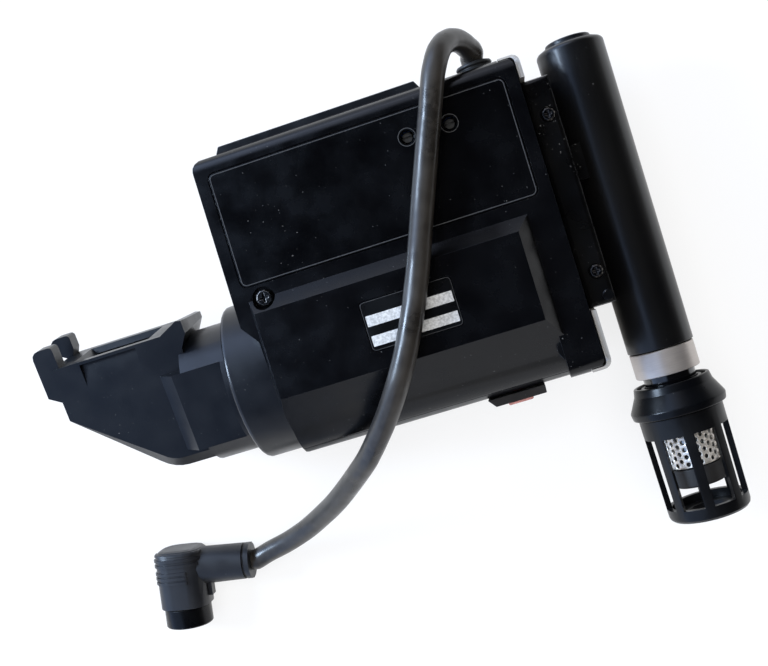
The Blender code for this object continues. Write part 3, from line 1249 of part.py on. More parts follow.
def make_anode_lead():
    """The high-voltage lead from the transformer to the cap on the funnel of the picture tube."""
    slope = math.atan2(BULB_RADIUS * (1 - ANODE_SHOULDER_SHARE), FUNNEL_LENGTH * ANODE_PLACE_SHARE)
    out = Matrix.Rotation(-math.pi / 4, 4, "X") @ Matrix.Rotation(slope, 4, "Y")
    root = Vector((funnel_start + FUNNEL_LENGTH * ANODE_PLACE_SHARE / 2, tube_axis_y, TUBE_AXIS_Z))
    radius = BULB_RADIUS * (1 + ANODE_SHOULDER_SHARE) / 2 + ANODE_CAP_GAP
    spot = root + Matrix.Rotation(-math.pi / 4, 3, "X") @ Vector((0, 0, radius))
    cap = turned([(0, 0), (ANODE_CAP_RADIUS, 0), (ANODE_CAP_TOP_RADIUS, ANODE_CAP_HEIGHT), (0, ANODE_CAP_HEIGHT)],
                 "Z", steps=SMALL_STEPS)
    place = Matrix.Translation(spot) @ out
    named("anode_cap", moved(cap, place), RUBBER, 0.6)
    end = place @ Vector((0, 0, ANODE_CAP_HEIGHT + CLEAR * 2))
    above = place @ Vector((0, 0, ANODE_CAP_HEIGHT + LEAD_RISE))
    start = Vector((flyback_left - CLEAR, flyback_front + LEAD_RISE / 2, FLYBACK_LEAD_LEVEL))
    away = start - Vector((LEAD_RISE, 0, 0))
    points = smooth_way([start, away, (away + above) / 2, above, end], LEAD_SPACING)[0]
    thread("anode_lead", points, LEAD_RADIUS, LEAD_BEVEL_STEPS, LEAD_RED, 0.4)


# Microphone bracket, tube and head
def bracket_screw_places():
    x = bracket_left + BRACKET_WIDTH / 2
    return [(x, bracket_front + BRACKET_SCREW_INSET_FRONT), (x, bracket_back - BRACKET_SCREW_INSET_BACK)]


def make_bracket():
    """The bracket hooks over the end plate with a lip and carries the tube in two cradles."""
    lip = BRACKET_TOP - BRACKET_LIP
    section = [(bracket_left, BRACKET_BOTTOM), (bracket_right, BRACKET_BOTTOM), (bracket_right, BRACKET_TOP),
               (plate_inner, BRACKET_TOP), (plate_inner, lip), (bracket_left, lip)]
    body = prism(section, bracket_front, bracket_back, "Y")
    body = soften(body, BRACKET_ROUND, lambda middle, way: middle.z > BRACKET_TOP - CLEAR, 2)
    cradle_right = bracket_right + CRADLE_WIDTH
    root = bracket_right - BRACKET_WIDTH / 4
    for front in (bracket_front + CRADLE_INSET, bracket_back - CRADLE_INSET - CRADLE_LENGTH):
        body = join(body, block((root, front, CRADLE_BOTTOM), (cradle_right, front + CRADLE_LENGTH, CRADLE_TOP)))
    lug_front = bracket_front + LUG_INSET
    body = join(body, block((root, lug_front, LUG_BOTTOM),
                            (bracket_right + LUG_REACH, lug_front + LUG_LENGTH, LUG_TOP)))
    body = cut(body, turned(rod_profile(TUBE_BACK_RADIUS + CLEAR, bracket_front - OVERRUN, bracket_back + OVERRUN),
                            "Y", mic_axis, ROUND_STEPS))
    for x, y in bracket_screw_places():
        body = cut(body, turned(rod_profile(BRACKET_SCREW_RADIUS + CLEAR, BRACKET_TOP - BRACKET_SCREW_SINK,
                                            BRACKET_TOP + OVERRUN), "Z", (x, y), SMALL_STEPS),
                   turned(rod_profile(BRACKET_SCREW_SHAFT + CLEAR, BRACKET_TOP - BRACKET_SCREW_LENGTH - CLEAR,
                                      BRACKET_TOP), "Z", (x, y), SCREW_STEPS))
    stud = turned(rod_profile(STUD_RADIUS, BRACKET_TOP - OVERRUN, BRACKET_TOP + STUD_HEIGHT), "Z",
                  (bracket_right - STUD_RADIUS - CLEAR, bracket_front + STUD_INSET), SCREW_STEPS)
    named("mic_bracket", join(body, stud), BLACK, 0.45)


def make_mic_tube():
    front = tube_back - TUBE_LENGTH
    edge = TUBE_ROUND
    corner = arc((TUBE_BACK_RADIUS - edge, tube_back - edge), edge, 0, math.pi / 2, 4)
    profile = [(TUBE_BORE_RADIUS, front), (TUBE_FRONT_RADIUS, front)] + corner + [(TUBE_BORE_RADIUS, tube_back)]
    if corner[-1][0] <= TUBE_BORE_RADIUS:
        profile = profile[:-1]
    named("mic_tube", turned(profile, "Y", mic_axis), BLACK, 0.35)
    low = tube_back + CLEAR
    high = low + CAP_HEIGHT
    plug = TUBE_BORE_RADIUS - CLEAR
    lid = [(0, tube_back - CAP_PLUG_LENGTH), (plug, tube_back - CAP_PLUG_LENGTH), (plug, low), (CAP_RADIUS, low)]
    lid += arc((CAP_RADIUS - CAP_ROUND, high - CAP_ROUND), CAP_ROUND, 0, math.pi / 2, 3) + [(0, high)]
    named("tube_cap", turned(lid, "Y", mic_axis), BLACK, 0.4)
    band_back = front - CLEAR
    band_front = band_back - BAND_LENGTH
    inner = BOOM_RADIUS + CLEAR
    band = [(inner, band_front), (BAND_RADIUS - BAND_EDGE, band_front), (BAND_RADIUS, band_front + BAND_EDGE),
            (BAND_RADIUS, band_back - BAND_EDGE), (BAND_RADIUS - BAND_EDGE, band_back), (inner, band_back)]
    named("tube_band", turned(band, "Y", mic_axis), ALUMINIUM, 0.3, 1.0)


boom = empty("boom_axis", (mic_x, 0, MIC_AXIS_Z), whole)
band_end = tube_back - TUBE_LENGTH - CLEAR - BAND_LENGTH
head_back = band_end - BOOM_VISIBLE
head_front = head_back - HEAD_LENGTH
cage_back = head_front - CLEAR
cage_front = cage_back - CAGE_LENGTH


def make_boom_tube():
    """The inner tube slides in the outer one and stops when its wide end meets the band."""
    front = head_back - BOOM_SOCKET + CLEAR
    back = band_end + BAND_LENGTH + BOOM_TRAVEL + BOOM_STOP_SPARE + BOOM_BUSH_LENGTH
    bush = back - BOOM_BUSH_LENGTH
    profile = [(BOOM_RADIUS - BOOM_WALL, front), (BOOM_RADIUS, front), (BOOM_RADIUS, bush),
               (TUBE_BORE_RADIUS - CLEAR, bush), (TUBE_BORE_RADIUS - CLEAR, back), (BOOM_RADIUS - BOOM_WALL, back)]
    named("boom_tube", turned(profile, "Y", (0, 0)), DEEP_BLACK, 0.2, parent=boom)


def make_mic_head():
    step = head_back - HEAD_STEP_LENGTH
    skirt = head_front + HEAD_SKIRT_LENGTH
    socket_floor = head_back - BOOM_SOCKET
    recess = socket_floor - HEAD_FLOOR
    recess_radius = CAGE_RADIUS - CAGE_RIB + CLEAR
    edge = BAND_EDGE
    profile = [(0, socket_floor), (BOOM_RADIUS + CLEAR, socket_floor), (BOOM_RADIUS + CLEAR, head_back),
               (HEAD_TOP_RADIUS - edge, head_back), (HEAD_TOP_RADIUS, head_back - edge),
               (HEAD_STEP_RADIUS, step), (HEAD_RADIUS - edge, skirt + edge), (HEAD_RADIUS, skirt),
               (HEAD_RADIUS - edge, head_front), (recess_radius, head_front), (recess_radius, recess), (0, recess)]
    named("mic_head", turned(profile, "Y", (0, 0)), BLACK, 0.35, parent=boom)
    mount_back = recess - CLEAR
    mount_front = mount_back - MOUNT_LENGTH
    mount_radius = CAGE_RADIUS - CAGE_RIB - CAGE_WALL - CLEAR
    named("capsule_mount", turned(rod_profile(mount_radius, mount_front, mount_back), "Y", (0, 0), SMALL_STEPS),
          RUBBER, 0.7, parent=boom)
    return mount_front


def make_cage():
    """The basket round the capsule: a spigot in the head, slots all round and an open end ring."""
    outer, inner = CAGE_RADIUS, CAGE_RADIUS - CAGE_WALL
    end_inner = CAGE_END_RADIUS - CAGE_WALL
    spigot = outer - CAGE_RIB
    spigot_back = head_front + CAGE_SPIGOT_LENGTH
    bend = arc((CAGE_END_RADIUS - CAGE_END_ROUND, cage_front + CAGE_END_ROUND), CAGE_END_ROUND, -math.pi / 2, 0, 3)
    profile = ([(CAGE_END_HOLE_RADIUS, cage_front)] + bend
               + [(outer, cage_back), (spigot, cage_back), (spigot, spigot_back),
                  (spigot - CAGE_WALL, spigot_back), (spigot - CAGE_WALL, cage_back - CAGE_WALL),
                  (inner, cage_back - CAGE_WALL * 2), (end_inner, cage_front + CAGE_WALL),
                  (CAGE_END_HOLE_RADIUS, cage_front + CAGE_WALL)])
    cage = turned(profile, "Y", (0, 0), FINE_STEPS)
    slot_back, slot_front = cage_back - CAGE_RING_LENGTH, cage_front + CAGE_END_RING
    for k in range(CAGE_SLOTS):
        slot = block((-CAGE_SLOT_WIDTH / 2, slot_front, inner / 2),
                     (CAGE_SLOT_WIDTH / 2, slot_back, outer + OVERRUN))
        turn = CAGE_SLOT_PHASE + math.tau * k / CAGE_SLOTS
        cage = cut(cage, moved(slot, Matrix.Rotation(turn, 4, "Y")))
    named("mic_cage", cage, BLACK, 0.4, parent=boom)


def make_capsule(mount_front):
    sleeve_back = mount_front - CLEAR
    sleeve_front = sleeve_back - SLEEVE_LENGTH
    sleeve = turned(tube_profile(SLEEVE_RADIUS, SLEEVE_RADIUS - SLEEVE_WALL, sleeve_front, sleeve_back), "Y",
                    (0, 0))
    named("capsule_sleeve", sleeve, ALUMINIUM, 0.25, 1.0, boom)
    inside = SLEEVE_RADIUS - SLEEVE_WALL - CLEAR
    element = turned(rod_profile(inside, sleeve_back - CAPSULE_LENGTH, sleeve_back), "Y", (0, 0), SMALL_STEPS)
    named("mic_capsule", element, (0.5, 0.5, 0.5), 0.4, 0.8, boom)
    foot_back = sleeve_front - CLEAR
    foot_front = foot_back - CAPSULE_FOOT_LENGTH
    plug_back = sleeve_back - CAPSULE_LENGTH - CLEAR
    profile = [(0, foot_front), (CAPSULE_FOOT_RADIUS - CLEAR, foot_front), (CAPSULE_FOOT_RADIUS, foot_front + CLEAR),
               (CAPSULE_FOOT_RADIUS, foot_back), (inside, foot_back), (inside, plug_back), (0, plug_back)]
    named("capsule_foot", turned(profile, "Y", (0, 0), SMALL_STEPS), DEEP_BLACK, 0.5, parent=boom)


# Cord and plug
plug_axis_z = PLUG_HALF_DEPTH + PLUG_REST
plug_place = Matrix.Translation((PLUG_X, PLUG_Y, plug_axis_z)) @ Matrix.Rotation(PLUG_TURN, 4, "Z")


def plug_head(growth):
    """The rounded head of the plug, or a slightly larger one that the grip ribs are cut from."""
    depth = PLUG_HALF_DEPTH + growth
    section = rounded(rectangle(-PLUG_LEFT - growth, PLUG_RIGHT + growth, -depth, depth), [PLUG_ROUND + growth] * 4)
    head = prism(section, -PLUG_HEAD_FOOT, PLUG_HEAD_TOP + growth, "Y")
    return soften(head, PLUG_END_ROUND + growth, lambda middle, way: middle.y > PLUG_HEAD_TOP - CLEAR, 3)


def make_plug():
    body = plug_head(0)
    groove = ARM_LENGTH - ARM_GROOVE_INSET
    arm = turned([(0, 0), (ARM_ROOT_RADIUS, 0), (ARM_ROOT_RADIUS, PLUG_RIGHT),
                  (ARM_END_RADIUS, groove - ARM_GROOVE_WIDTH),
                  (ARM_END_RADIUS - ARM_GROOVE_DEPTH, groove - ARM_GROOVE_WIDTH),
                  (ARM_END_RADIUS - ARM_GROOVE_DEPTH, groove), (ARM_END_RADIUS, groove),
                  (ARM_END_RADIUS, ARM_LENGTH), (0, ARM_LENGTH)], "X", (0, 0), SMALL_STEPS)
    body = join(body, arm)
    slabs = []
    for first, pitch, end in ((GRIP_LONG_FIRST, GRIP_LONG_PITCH, GRIP_LONG_END),
                              (GRIP_SHORT_FIRST, GRIP_SHORT_PITCH, GRIP_SHORT_END)):
        for row in range(GRIP_RIBS):
            place = first - row * pitch
            slabs.append(block((-PLUG_LEFT - OVERRUN, place - GRIP_RIB_WIDTH / 2, GRIP_FOOT),
                               (end, place + GRIP_RIB_WIDTH / 2, PLUG_HALF_DEPTH + OVERRUN)))
    body = join(body, keep(plug_head(GRIP_RIB_HEIGHT), merged(slabs)))
    key = block((PLUG_RIGHT - KEY_HEIGHT, -KEY_PLACE - KEY_LENGTH / 2, -KEY_WIDTH / 2),
                (PLUG_RIGHT + KEY_HEIGHT, -KEY_PLACE + KEY_LENGTH / 2, KEY_WIDTH / 2))
    named("plug_body", moved(join(body, key), plug_place), RUBBER, 0.5)
    back = -PLUG_HEAD_FOOT - CLEAR
    front = back - BARREL_LENGTH
    inner = BARREL_RADIUS - BARREL_WALL
    edge = BARREL_WALL / 2
    barrel = turned([(inner, front), (BARREL_RADIUS - edge, front), (BARREL_RADIUS, front + edge),
                     (BARREL_RADIUS, back), (inner, back)], "Y", (0, 0), ROUND_STEPS)
    named("plug_barrel", moved(barrel, plug_place), BLACK, 0.35, 0.3)
    insert_front = back - INSERT_LENGTH
    insert = turned(rod_profile(inner - CLEAR, insert_front, back), "Y", (0, 0), SMALL_STEPS)
    for k in range(PIN_COUNT):
        turn = math.tau * (k + PIN_PHASE_SHARE) / (PIN_COUNT + 1)
        spot = (PIN_CIRCLE * math.cos(turn), PIN_CIRCLE * math.sin(turn))
        pin = turned(rod_profile(PIN_RADIUS, insert_front - PIN_LENGTH, insert_front + INSERT_LENGTH / 2), "Y", spot,
                     PIN_STEPS)
        insert = join(insert, pin)
    named("plug_contacts", moved(insert, plug_place), BRASS, 0.25, 1.0)


def smooth_way(points, spacing):
    """Points at an even spacing on a smooth curve through the route."""
    ends = [points[0] * 2 - points[1]] + points + [points[-1] * 2 - points[-2]]
    fine = [points[0]]
    for a, b, c, d in zip(ends, ends[1:], ends[2:], ends[3:]):
        handles = b + (c - a) * HANDLE_SHARE, c - (d - b) * HANDLE_SHARE
        fine += interpolate_bezier(b, *handles, c, CURVE_STEPS)[1:]
    total = sum((q - p).length for p, q in zip(fine, fine[1:]))
    step = total / round(total / spacing)
    chosen, gone = [fine[0]], 0.0
    for p, q in zip(fine, fine[1:]):
        gone += (q - p).length
        if gone >= step * len(chosen) - WELD:
            chosen.append(q)
    chosen[-1] = fine[-1]
    return chosen, total


def thread(name, points, radius, bevel_steps, colour, roughness):
    """A lead or cord: a round section swept along the points, closed at both ends."""
    curve = bpy.data.curves.new(name, "CURVE")
    curve.dimensions = "3D"
    curve.bevel_depth = radius
    curve.bevel_resolution = bevel_steps
    curve.use_fill_caps = True
    spline = curve.splines.new("POLY")
    spline.points.add(len(points) - 1)
    for spot, point in zip(spline.points, points):
        spot.co = (*point, 1)
    curve.materials.append(finish(name, colour, roughness))
    sweep = bpy.data.objects.new(name, curve)
    bpy.context.scene.collection.objects.link(sweep)
    sweep.parent = whole


def make_cord():
    plug_mouth = plug_place @ Vector((ARM_LENGTH + CLEAR, 0, 0))
    plug_way = plug_place.to_3x3() @ Vector((1, 0, 0))
    start = Vector((gland_x, gland_face() + CLEAR, GLAND_Z))
    straight = Vector((0, CORD_STRAIGHT, 0))
    free_end = plug_mouth + plug_way * CORD_STRAIGHT
    route = [start + straight] + [Vector(p) * MM for p in CORD_ROUTE] + [free_end]
    points, length = smooth_way(route, CORD_SPACING)
    thread("cord", [start] + points + [plug_mouth], CORD_RADIUS, CORD_BEVEL_STEPS, RUBBER, 0.5)
    print(f"cord length {(length + CORD_STRAIGHT * 2) / MM:.1f} mm in {len(points) + 2} points")


def settle():
    """Moves everything so that the origin is under the middle of the object without its cord and plug."""
    bpy.context.view_layer.update()
    loose = ("plug_body", "plug_barrel", "plug_contacts")
    corners = [thing.matrix_world @ vertex.co for thing in bpy.data.objects
               if thing.type == "MESH" and thing.name not in loose for vertex in thing.data.vertices]
    low = [min(c[i] for c in corners) for i in range(3)]
    high = [max(c[i] for c in corners) for i in range(3)]
    whole.location = (-(low[0] + high[0]) / 2, -(low[1] + high[1]) / 2, -low[2])
    bpy.context.view_layer.update()


hollow = hollow_housing()
make_front_cover(copy_of(hollow))
make_rear_shell(hollow)
make_label_and_sticker()
make_screws()
make_end_plate()
make_rail()
make_gland()
make_tally()
make_collar()
make_mirror_box()
make_mirror()
make_retainer()
make_picture_tube()
make_yoke()
make_tube_socket()
make_board()
make_components()
make_flyback()
make_trimmer("focus", focus_x)
make_trimmer("bright", bright_x)
make_anode_lead()
make_bracket()
make_mic_tube()
make_boom_tube()
make_capsule(make_mic_head())
make_cage()
make_plug()
make_cord()
settle()
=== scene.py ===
# %% [markdown]
# # An electronic viewfinder, cell by cell
# The object is the small picture tube box that sat on the side of a video camera of the early
# eighties. Its solids are already made and packed. This notebook dresses them: it sets the camera
# and the light, mixes a finish for every piece, and makes again the pieces whose real form is finer
# than their solids. All lengths are in metres.

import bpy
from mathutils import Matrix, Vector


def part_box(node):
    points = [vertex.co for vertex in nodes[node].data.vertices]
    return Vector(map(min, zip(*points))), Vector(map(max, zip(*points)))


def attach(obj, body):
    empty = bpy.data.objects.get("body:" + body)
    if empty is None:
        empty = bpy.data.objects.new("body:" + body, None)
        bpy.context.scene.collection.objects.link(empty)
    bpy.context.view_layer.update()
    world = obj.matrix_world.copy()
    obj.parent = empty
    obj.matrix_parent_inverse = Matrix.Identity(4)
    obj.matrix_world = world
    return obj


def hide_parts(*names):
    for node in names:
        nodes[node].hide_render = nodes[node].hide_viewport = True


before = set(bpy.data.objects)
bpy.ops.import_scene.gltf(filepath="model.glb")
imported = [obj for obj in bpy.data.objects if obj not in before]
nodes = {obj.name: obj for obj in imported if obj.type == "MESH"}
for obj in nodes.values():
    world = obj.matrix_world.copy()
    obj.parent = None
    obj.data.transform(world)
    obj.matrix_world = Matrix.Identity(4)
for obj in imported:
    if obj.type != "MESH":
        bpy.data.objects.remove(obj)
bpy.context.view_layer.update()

# %% [markdown]
# The other modules come next. `MM` lets the lengths below be written in millimetres, as they would
# be on a workshop drawing of an object this small.

# %% Modules and the unit of length
import math

import bmesh
import bpy
from mathutils import Matrix, Vector
from mathutils.geometry import interpolate_bezier

MM = 0.001

# %% [markdown]
# ## The camera
# The photograph looks almost straight down on the object, which lies on its back. The camera's place
# and its three directions were found by fitting straight edges and circles, so they are written here
# as numbers. A camera looks along its own minus Z, which is why the last column is turned round.

# %% The camera
view_way = Vector((-0.13223, -0.00873, -0.99118)).normalized()
right_way = view_way.cross(Vector((0.29106, 0.95554, -0.04725))).normalized()
up_way = right_way.cross(view_way)
LENS_LENGTH, FILM_WIDTH = 51.76, 36
lens = bpy.data.cameras.new("overhead_camera")
lens.lens, lens.sensor_width = LENS_LENGTH, FILM_WIDTH
lens.clip_start, lens.clip_end = 0.01, 20
camera_place = Vector((42.73, 7.52, 306.83)) * MM
camera = bpy.data.objects.new("overhead_camera", lens)
turn = Matrix((right_way, up_way, -view_way)).transposed().to_4x4()
camera.matrix_world = Matrix.Translation(camera_place) @ turn
bpy.context.scene.collection.objects.link(camera)
bpy.context.scene.camera = camera
bpy.context.scene.view_settings.view_transform = "Standard"
print("camera height in mm:", round(camera.location.z / MM, 1))

# %% [markdown]
# ## The route of the cord
# The whole cord is in view, so its route is read from the photograph: out of the gland, up in an
# arch over the cover's edge, across the raised part, down to the table and into the plug. A smooth
# Bezier curve runs through the points. Each handle is a sixth of the way between the neighbours,
# which is the rule that turns a list of points into one even bend.

# %% The route of the cord
CORD_ROUTE = [
    (46.9, 64.25, 27.0), (47.4, 65.45, 28.6), (46.5, 66.65, 31.0), (45.3, 67.55, 34.5), (43.6, 67.65, 38.5),
    (41.9, 66.85, 42.0), (40.4, 65.35, 44.8), (39.3, 63.65, 46.6), (38.2, 61.55, 47.9), (36.9, 58.85, 48.5),
    (34.9, 53.85, 48.5), (30.6, 43.15, 48.4), (26.5, 32.85, 48.5), (24.0, 26.15, 49.6), (21.4, 19.05, 51.4),
    (19.1, 13.55, 51.6), (16.2, 7.15, 51.6), (11.9, -1.05, 51.5), (7.9, -7.35, 50.6), (2.7, -14.15, 47.5),
    (-3.7, -21.05, 42.6), (-8.5, -25.25, 37.9), (-18.5, -32.45, 27.0), (-26.0, -36.75, 19.4),
    (-32.6, -39.95, 14.2), (-39.6, -42.45, 10.0), (-46.0, -44.05, 7.6), (-50.51, -45.39, 6.7),
]
CORD_START = Vector((46.9, 63.05, 27.0)) * MM
CORD_END = Vector((-51.69, -45.19, 6.7)) * MM
CORD_RADIUS = 2.85 * MM
HANDLE_SHARE = 1 / 6
STEPS_PER_STOP = 8


def smooth_route(stops, steps):
    """Many points on one smooth curve through the stops."""
    ends = [stops[0] * 2 - stops[1]] + stops + [stops[-1] * 2 - stops[-2]]
    way = [stops[0]]
    for before, here, there, after in zip(ends, ends[1:], ends[2:], ends[3:]):
        handles = here + (there - before) * HANDLE_SHARE, there - (after - here) * HANDLE_SHARE
        way += interpolate_bezier(here, *handles, there, steps + 1)[1:]
    return way


cord_way = [CORD_START] + smooth_route([Vector(p) * MM for p in CORD_ROUTE], STEPS_PER_STOP) + [CORD_END]

# %% [markdown]
# ## The cord itself
# The thickness is written on the points, with a bevel of one, so that the curve's own bounds stay
# true. Twelve sides are enough once they are shaded smoothly.

# %% The cord itself
sheath = bpy.data.curves.new("cord_sheath", "CURVE")
sheath.dimensions = "3D"
sheath.bevel_depth, sheath.bevel_resolution, sheath.use_fill_caps = 1.0, 5, True
line = sheath.splines.new("POLY")
line.points.add(len(cord_way) - 1)
for spot, point in zip(line.points, cord_way):
    spot.co, spot.radius = (*point, 1), CORD_RADIUS
line.use_smooth = True
cord = bpy.data.objects.new("cord_sheath", sheath)
bpy.context.scene.collection.objects.link(cord)
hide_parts("cord")
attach(cord, "housing")
print("points on the cord:", len(cord_way))

# %% [markdown]
# ## Table, backdrop and light
# The photograph's ground is pure white. The table's own colour is pale, and to the camera, to
# reflections and through glass it shows mostly as plain white, so that the soft shadow under the
# object stays. No lamp has to be turned up for that.

# %% The table
GROUND_WHITE = (0.93, 0.93, 0.93, 1)
SHADOW_SHARE = 0.2
TABLE_REACH, TABLE_LEVEL = 1.5, -0.0002


def add_node(tree, kind, **sockets):
    """A shader node with some of its input sockets set by name."""
    made = tree.nodes.new(kind)
    for name, value in sockets.items():
        made.inputs[name.replace("_", " ")].default_value = value
    return made


def math_node(tree, operation, first, second, clamp=False):
    """One sum of two sockets or numbers."""
    made = tree.nodes.new("ShaderNodeMath")
    made.operation, made.use_clamp = operation, clamp
    for place, value in enumerate((first, second)):
        if isinstance(value, bpy.types.NodeSocket):
            tree.links.new(value, made.inputs[place])
        else:
            made.inputs[place].default_value = value
    return made.outputs[0]


def table_finish():
    material = bpy.data.materials.new("white_table")
    material.use_nodes = True
    tree = material.node_tree
    tree.nodes.clear()
    rays = tree.nodes.new("ShaderNodeLightPath")
    seen = math_node(tree, "ADD", rays.outputs["Is Camera Ray"], rays.outputs["Is Glossy Ray"], True)
    seen = math_node(tree, "ADD", seen, rays.outputs["Is Transmission Ray"], True)
    share = math_node(tree, "MULTIPLY", seen, 1 - SHADOW_SHARE)
    matt = add_node(tree, "ShaderNodeBsdfDiffuse", Color=GROUND_WHITE)
    plain = add_node(tree, "ShaderNodeEmission", Color=(1, 1, 1, 1), Strength=1.0)
    both, out = tree.nodes.new("ShaderNodeMixShader"), tree.nodes.new("ShaderNodeOutputMaterial")
    tree.links.new(share, both.inputs[0])
    tree.links.new(matt.outputs[0], both.inputs[1])
    tree.links.new(plain.outputs[0], both.inputs[2])
    tree.links.new(both.outputs[0], out.inputs["Surface"])
    return material


def mesh_piece(name, points, faces):
    """A mesh object from plain lists of points and faces."""
    mesh = bpy.data.meshes.new(name)
    mesh.from_pydata(points, [], faces)
    piece = bpy.data.objects.new(name, mesh)
    bpy.context.scene.collection.objects.link(piece)
    return piece


table_corners = [(x * TABLE_REACH, y * TABLE_REACH, TABLE_LEVEL) for x, y in ((-1, -1), (1, -1), (1, 1), (-1, 1))]
table = mesh_piece("white_table", table_corners, [(0, 1, 2, 3)])
table.data.materials.append(table_finish())
print("table half width in m:", TABLE_REACH)

# %% [markdown]
# The black plastic shows its form only by what it mirrors. Straight above, where the photographer
# stands, the room is dark, and that is why the flat tops are nearly black. Toward the eyepiece side a
# bluish sky begins some fifteen degrees off the vertical. Low down the room is brighter, cool on one
# side and warm on the other, and behind the rail side a window reaches higher. A few smooth steps
# along x, y and z give this room. The ceiling lamp stays out of the mirror images, as the
# photographer hides it there.

# %% The room
COOL_SKY, WARM_WALL = (0.46, 0.63, 1.0, 1), (1.0, 0.88, 0.74, 1)
SKY_LEVEL, BACK_LEVEL, FRONT_LEVEL, DARK_LEVEL, WINDOW_LEVEL = 1.0, 0.6, 0.30, 0.004, 2.8


def ranged_node(tree, source, start, end, low, high):
    """A smooth step from low to high while the source goes from start to end."""
    step = tree.nodes.new("ShaderNodeMapRange")
    step.interpolation_type = "SMOOTHSTEP"
    tree.links.new(source, step.inputs["Value"])
    for place, value in enumerate((start, end, low, high), 1):
        step.inputs[place].default_value = value
    return step.outputs["Result"]


def tinted(tree, level, low_colour, high_colour, share):
    """A colour between two, times a level."""
    tint, scale = tree.nodes.new("ShaderNodeMix"), tree.nodes.new("ShaderNodeVectorMath")
    tint.data_type, scale.operation = "RGBA", "SCALE"
    tree.links.new(share, tint.inputs["Factor"])
    tint.inputs[6].default_value, tint.inputs[7].default_value = low_colour, high_colour
    tree.links.new(tint.outputs[2], scale.inputs[0])
    tree.links.new(level, scale.inputs["Scale"])
    return scale.outputs[0]


def room_light():
    world = bpy.data.worlds.new("room")
    bpy.context.scene.world = world
    world.use_nodes = True
    tree = world.node_tree
    where, parts = tree.nodes.new("ShaderNodeTexCoord"), tree.nodes.new("ShaderNodeSeparateXYZ")
    tree.links.new(where.outputs["Generated"], parts.inputs[0])
    x, y, z = parts.outputs
    warm_share = ranged_node(tree, x, -0.5, 0.6, 0, 1)
    low_down = ranged_node(tree, z, 0.05, 0.55, 1, 0)
    level = math_node(tree, "MULTIPLY", low_down, ranged_node(tree, y, -0.9, 0.9, FRONT_LEVEL, BACK_LEVEL))
    behind = math_node(tree, "MULTIPLY", ranged_node(tree, y, 0.45, 0.8, 0, 1),
                       ranged_node(tree, x, -0.3, 0.3, WINDOW_LEVEL, 0.1))
    behind = math_node(tree, "MULTIPLY", behind, ranged_node(tree, z, 0.1, 0.35, 0.2, 1))
    level = math_node(tree, "ADD", level, behind)
    level = math_node(tree, "MULTIPLY", level, ranged_node(tree, x, 0.1, 0.65, 1, 0.03))
    level = math_node(tree, "MULTIPLY", level, ranged_node(tree, x, -0.9, -0.3, 1.6, 1))
    walls = tinted(tree, math_node(tree, "ADD", level, DARK_LEVEL), COOL_SKY, WARM_WALL, warm_share)
    sky_level = ranged_node(tree, x, -0.44, -0.25, SKY_LEVEL, 0)
    sky = tinted(tree, sky_level, COOL_SKY, COOL_SKY, warm_share)
    both = tree.nodes.new("ShaderNodeVectorMath")
    tree.links.new(walls, both.inputs[0])
    tree.links.new(sky, both.inputs[1])
    tree.links.new(both.outputs[0], tree.nodes["Background"].inputs["Color"])


def window(name, place, size, power, colour, mirrored=True):
    """A soft square lamp that looks at the middle of the object."""
    lamp = bpy.data.lights.new(name, "AREA")
    lamp.shape, lamp.size, lamp.energy, lamp.color = "SQUARE", size, power, colour
    holder = bpy.data.objects.new(name, lamp)
    holder.location = place
    holder.rotation_euler = (Vector((0, 0, 0.02)) - holder.location).to_track_quat("-Z", "Y").to_euler()
    holder.visible_glossy = mirrored
    bpy.context.scene.collection.objects.link(holder)


room_light()
window("cool_window", (-0.58, 0.27, 0.44), 0.22, 7.0, (0.62, 0.78, 1.0))
window("low_window", (0.10, -0.75, 0.30), 0.6, 0.7, (0.97, 0.98, 1.0))
window("ceiling", (0.05, 0.0, 0.95), 0.9, 8.5, (1.0, 0.99, 0.97), mirrored=False)
print("lamps:", len(bpy.data.lights))

# %% [markdown]
# ## Tools for the finishes
# Every finish is a set of noise, bump and colour nodes, measured in millimetres on the piece itself.
# The helpers below each add one such layer, so a finish reads like a short recipe.

# %% Tools for the finishes


def new_finish(name, roughness, **sockets):
    material = bpy.data.materials.new(name)
    material.use_nodes = True
    tree = material.node_tree
    shader = tree.nodes["Principled BSDF"]
    shader.inputs["Roughness"].default_value = roughness
    for socket, value in sockets.items():
        shader.inputs[socket.replace("_", " ")].default_value = value
    return material, tree, shader


def grain(tree, size, detail=2.0, stretch=(1, 1, 1), shift=0.0):
    """Cloudy noise with spots of about the given size, stretched where the finish has a direction."""
    where, scaled = tree.nodes.new("ShaderNodeTexCoord"), tree.nodes.new("ShaderNodeMapping")
    scaled.inputs["Scale"].default_value = [s / size for s in stretch]
    scaled.inputs["Location"].default_value = (shift, shift * 2, shift * 3)
    spots = add_node(tree, "ShaderNodeTexNoise", Scale=1.0, Detail=detail)
    tree.links.new(where.outputs["Object"], scaled.inputs["Vector"])
    tree.links.new(scaled.outputs["Vector"], spots.inputs["Vector"])
    return spots.outputs["Fac"]


def spread(tree, source, low, high, start=0.35, end=0.65):
    """Maps the middle of a noise onto the range from low to high."""
    ranged = tree.nodes.new("ShaderNodeMapRange")
    tree.links.new(source, ranged.inputs["Value"])
    for place, value in enumerate((start, end, low, high), 1):
        ranged.inputs[place].default_value = value
    return ranged.outputs["Result"]


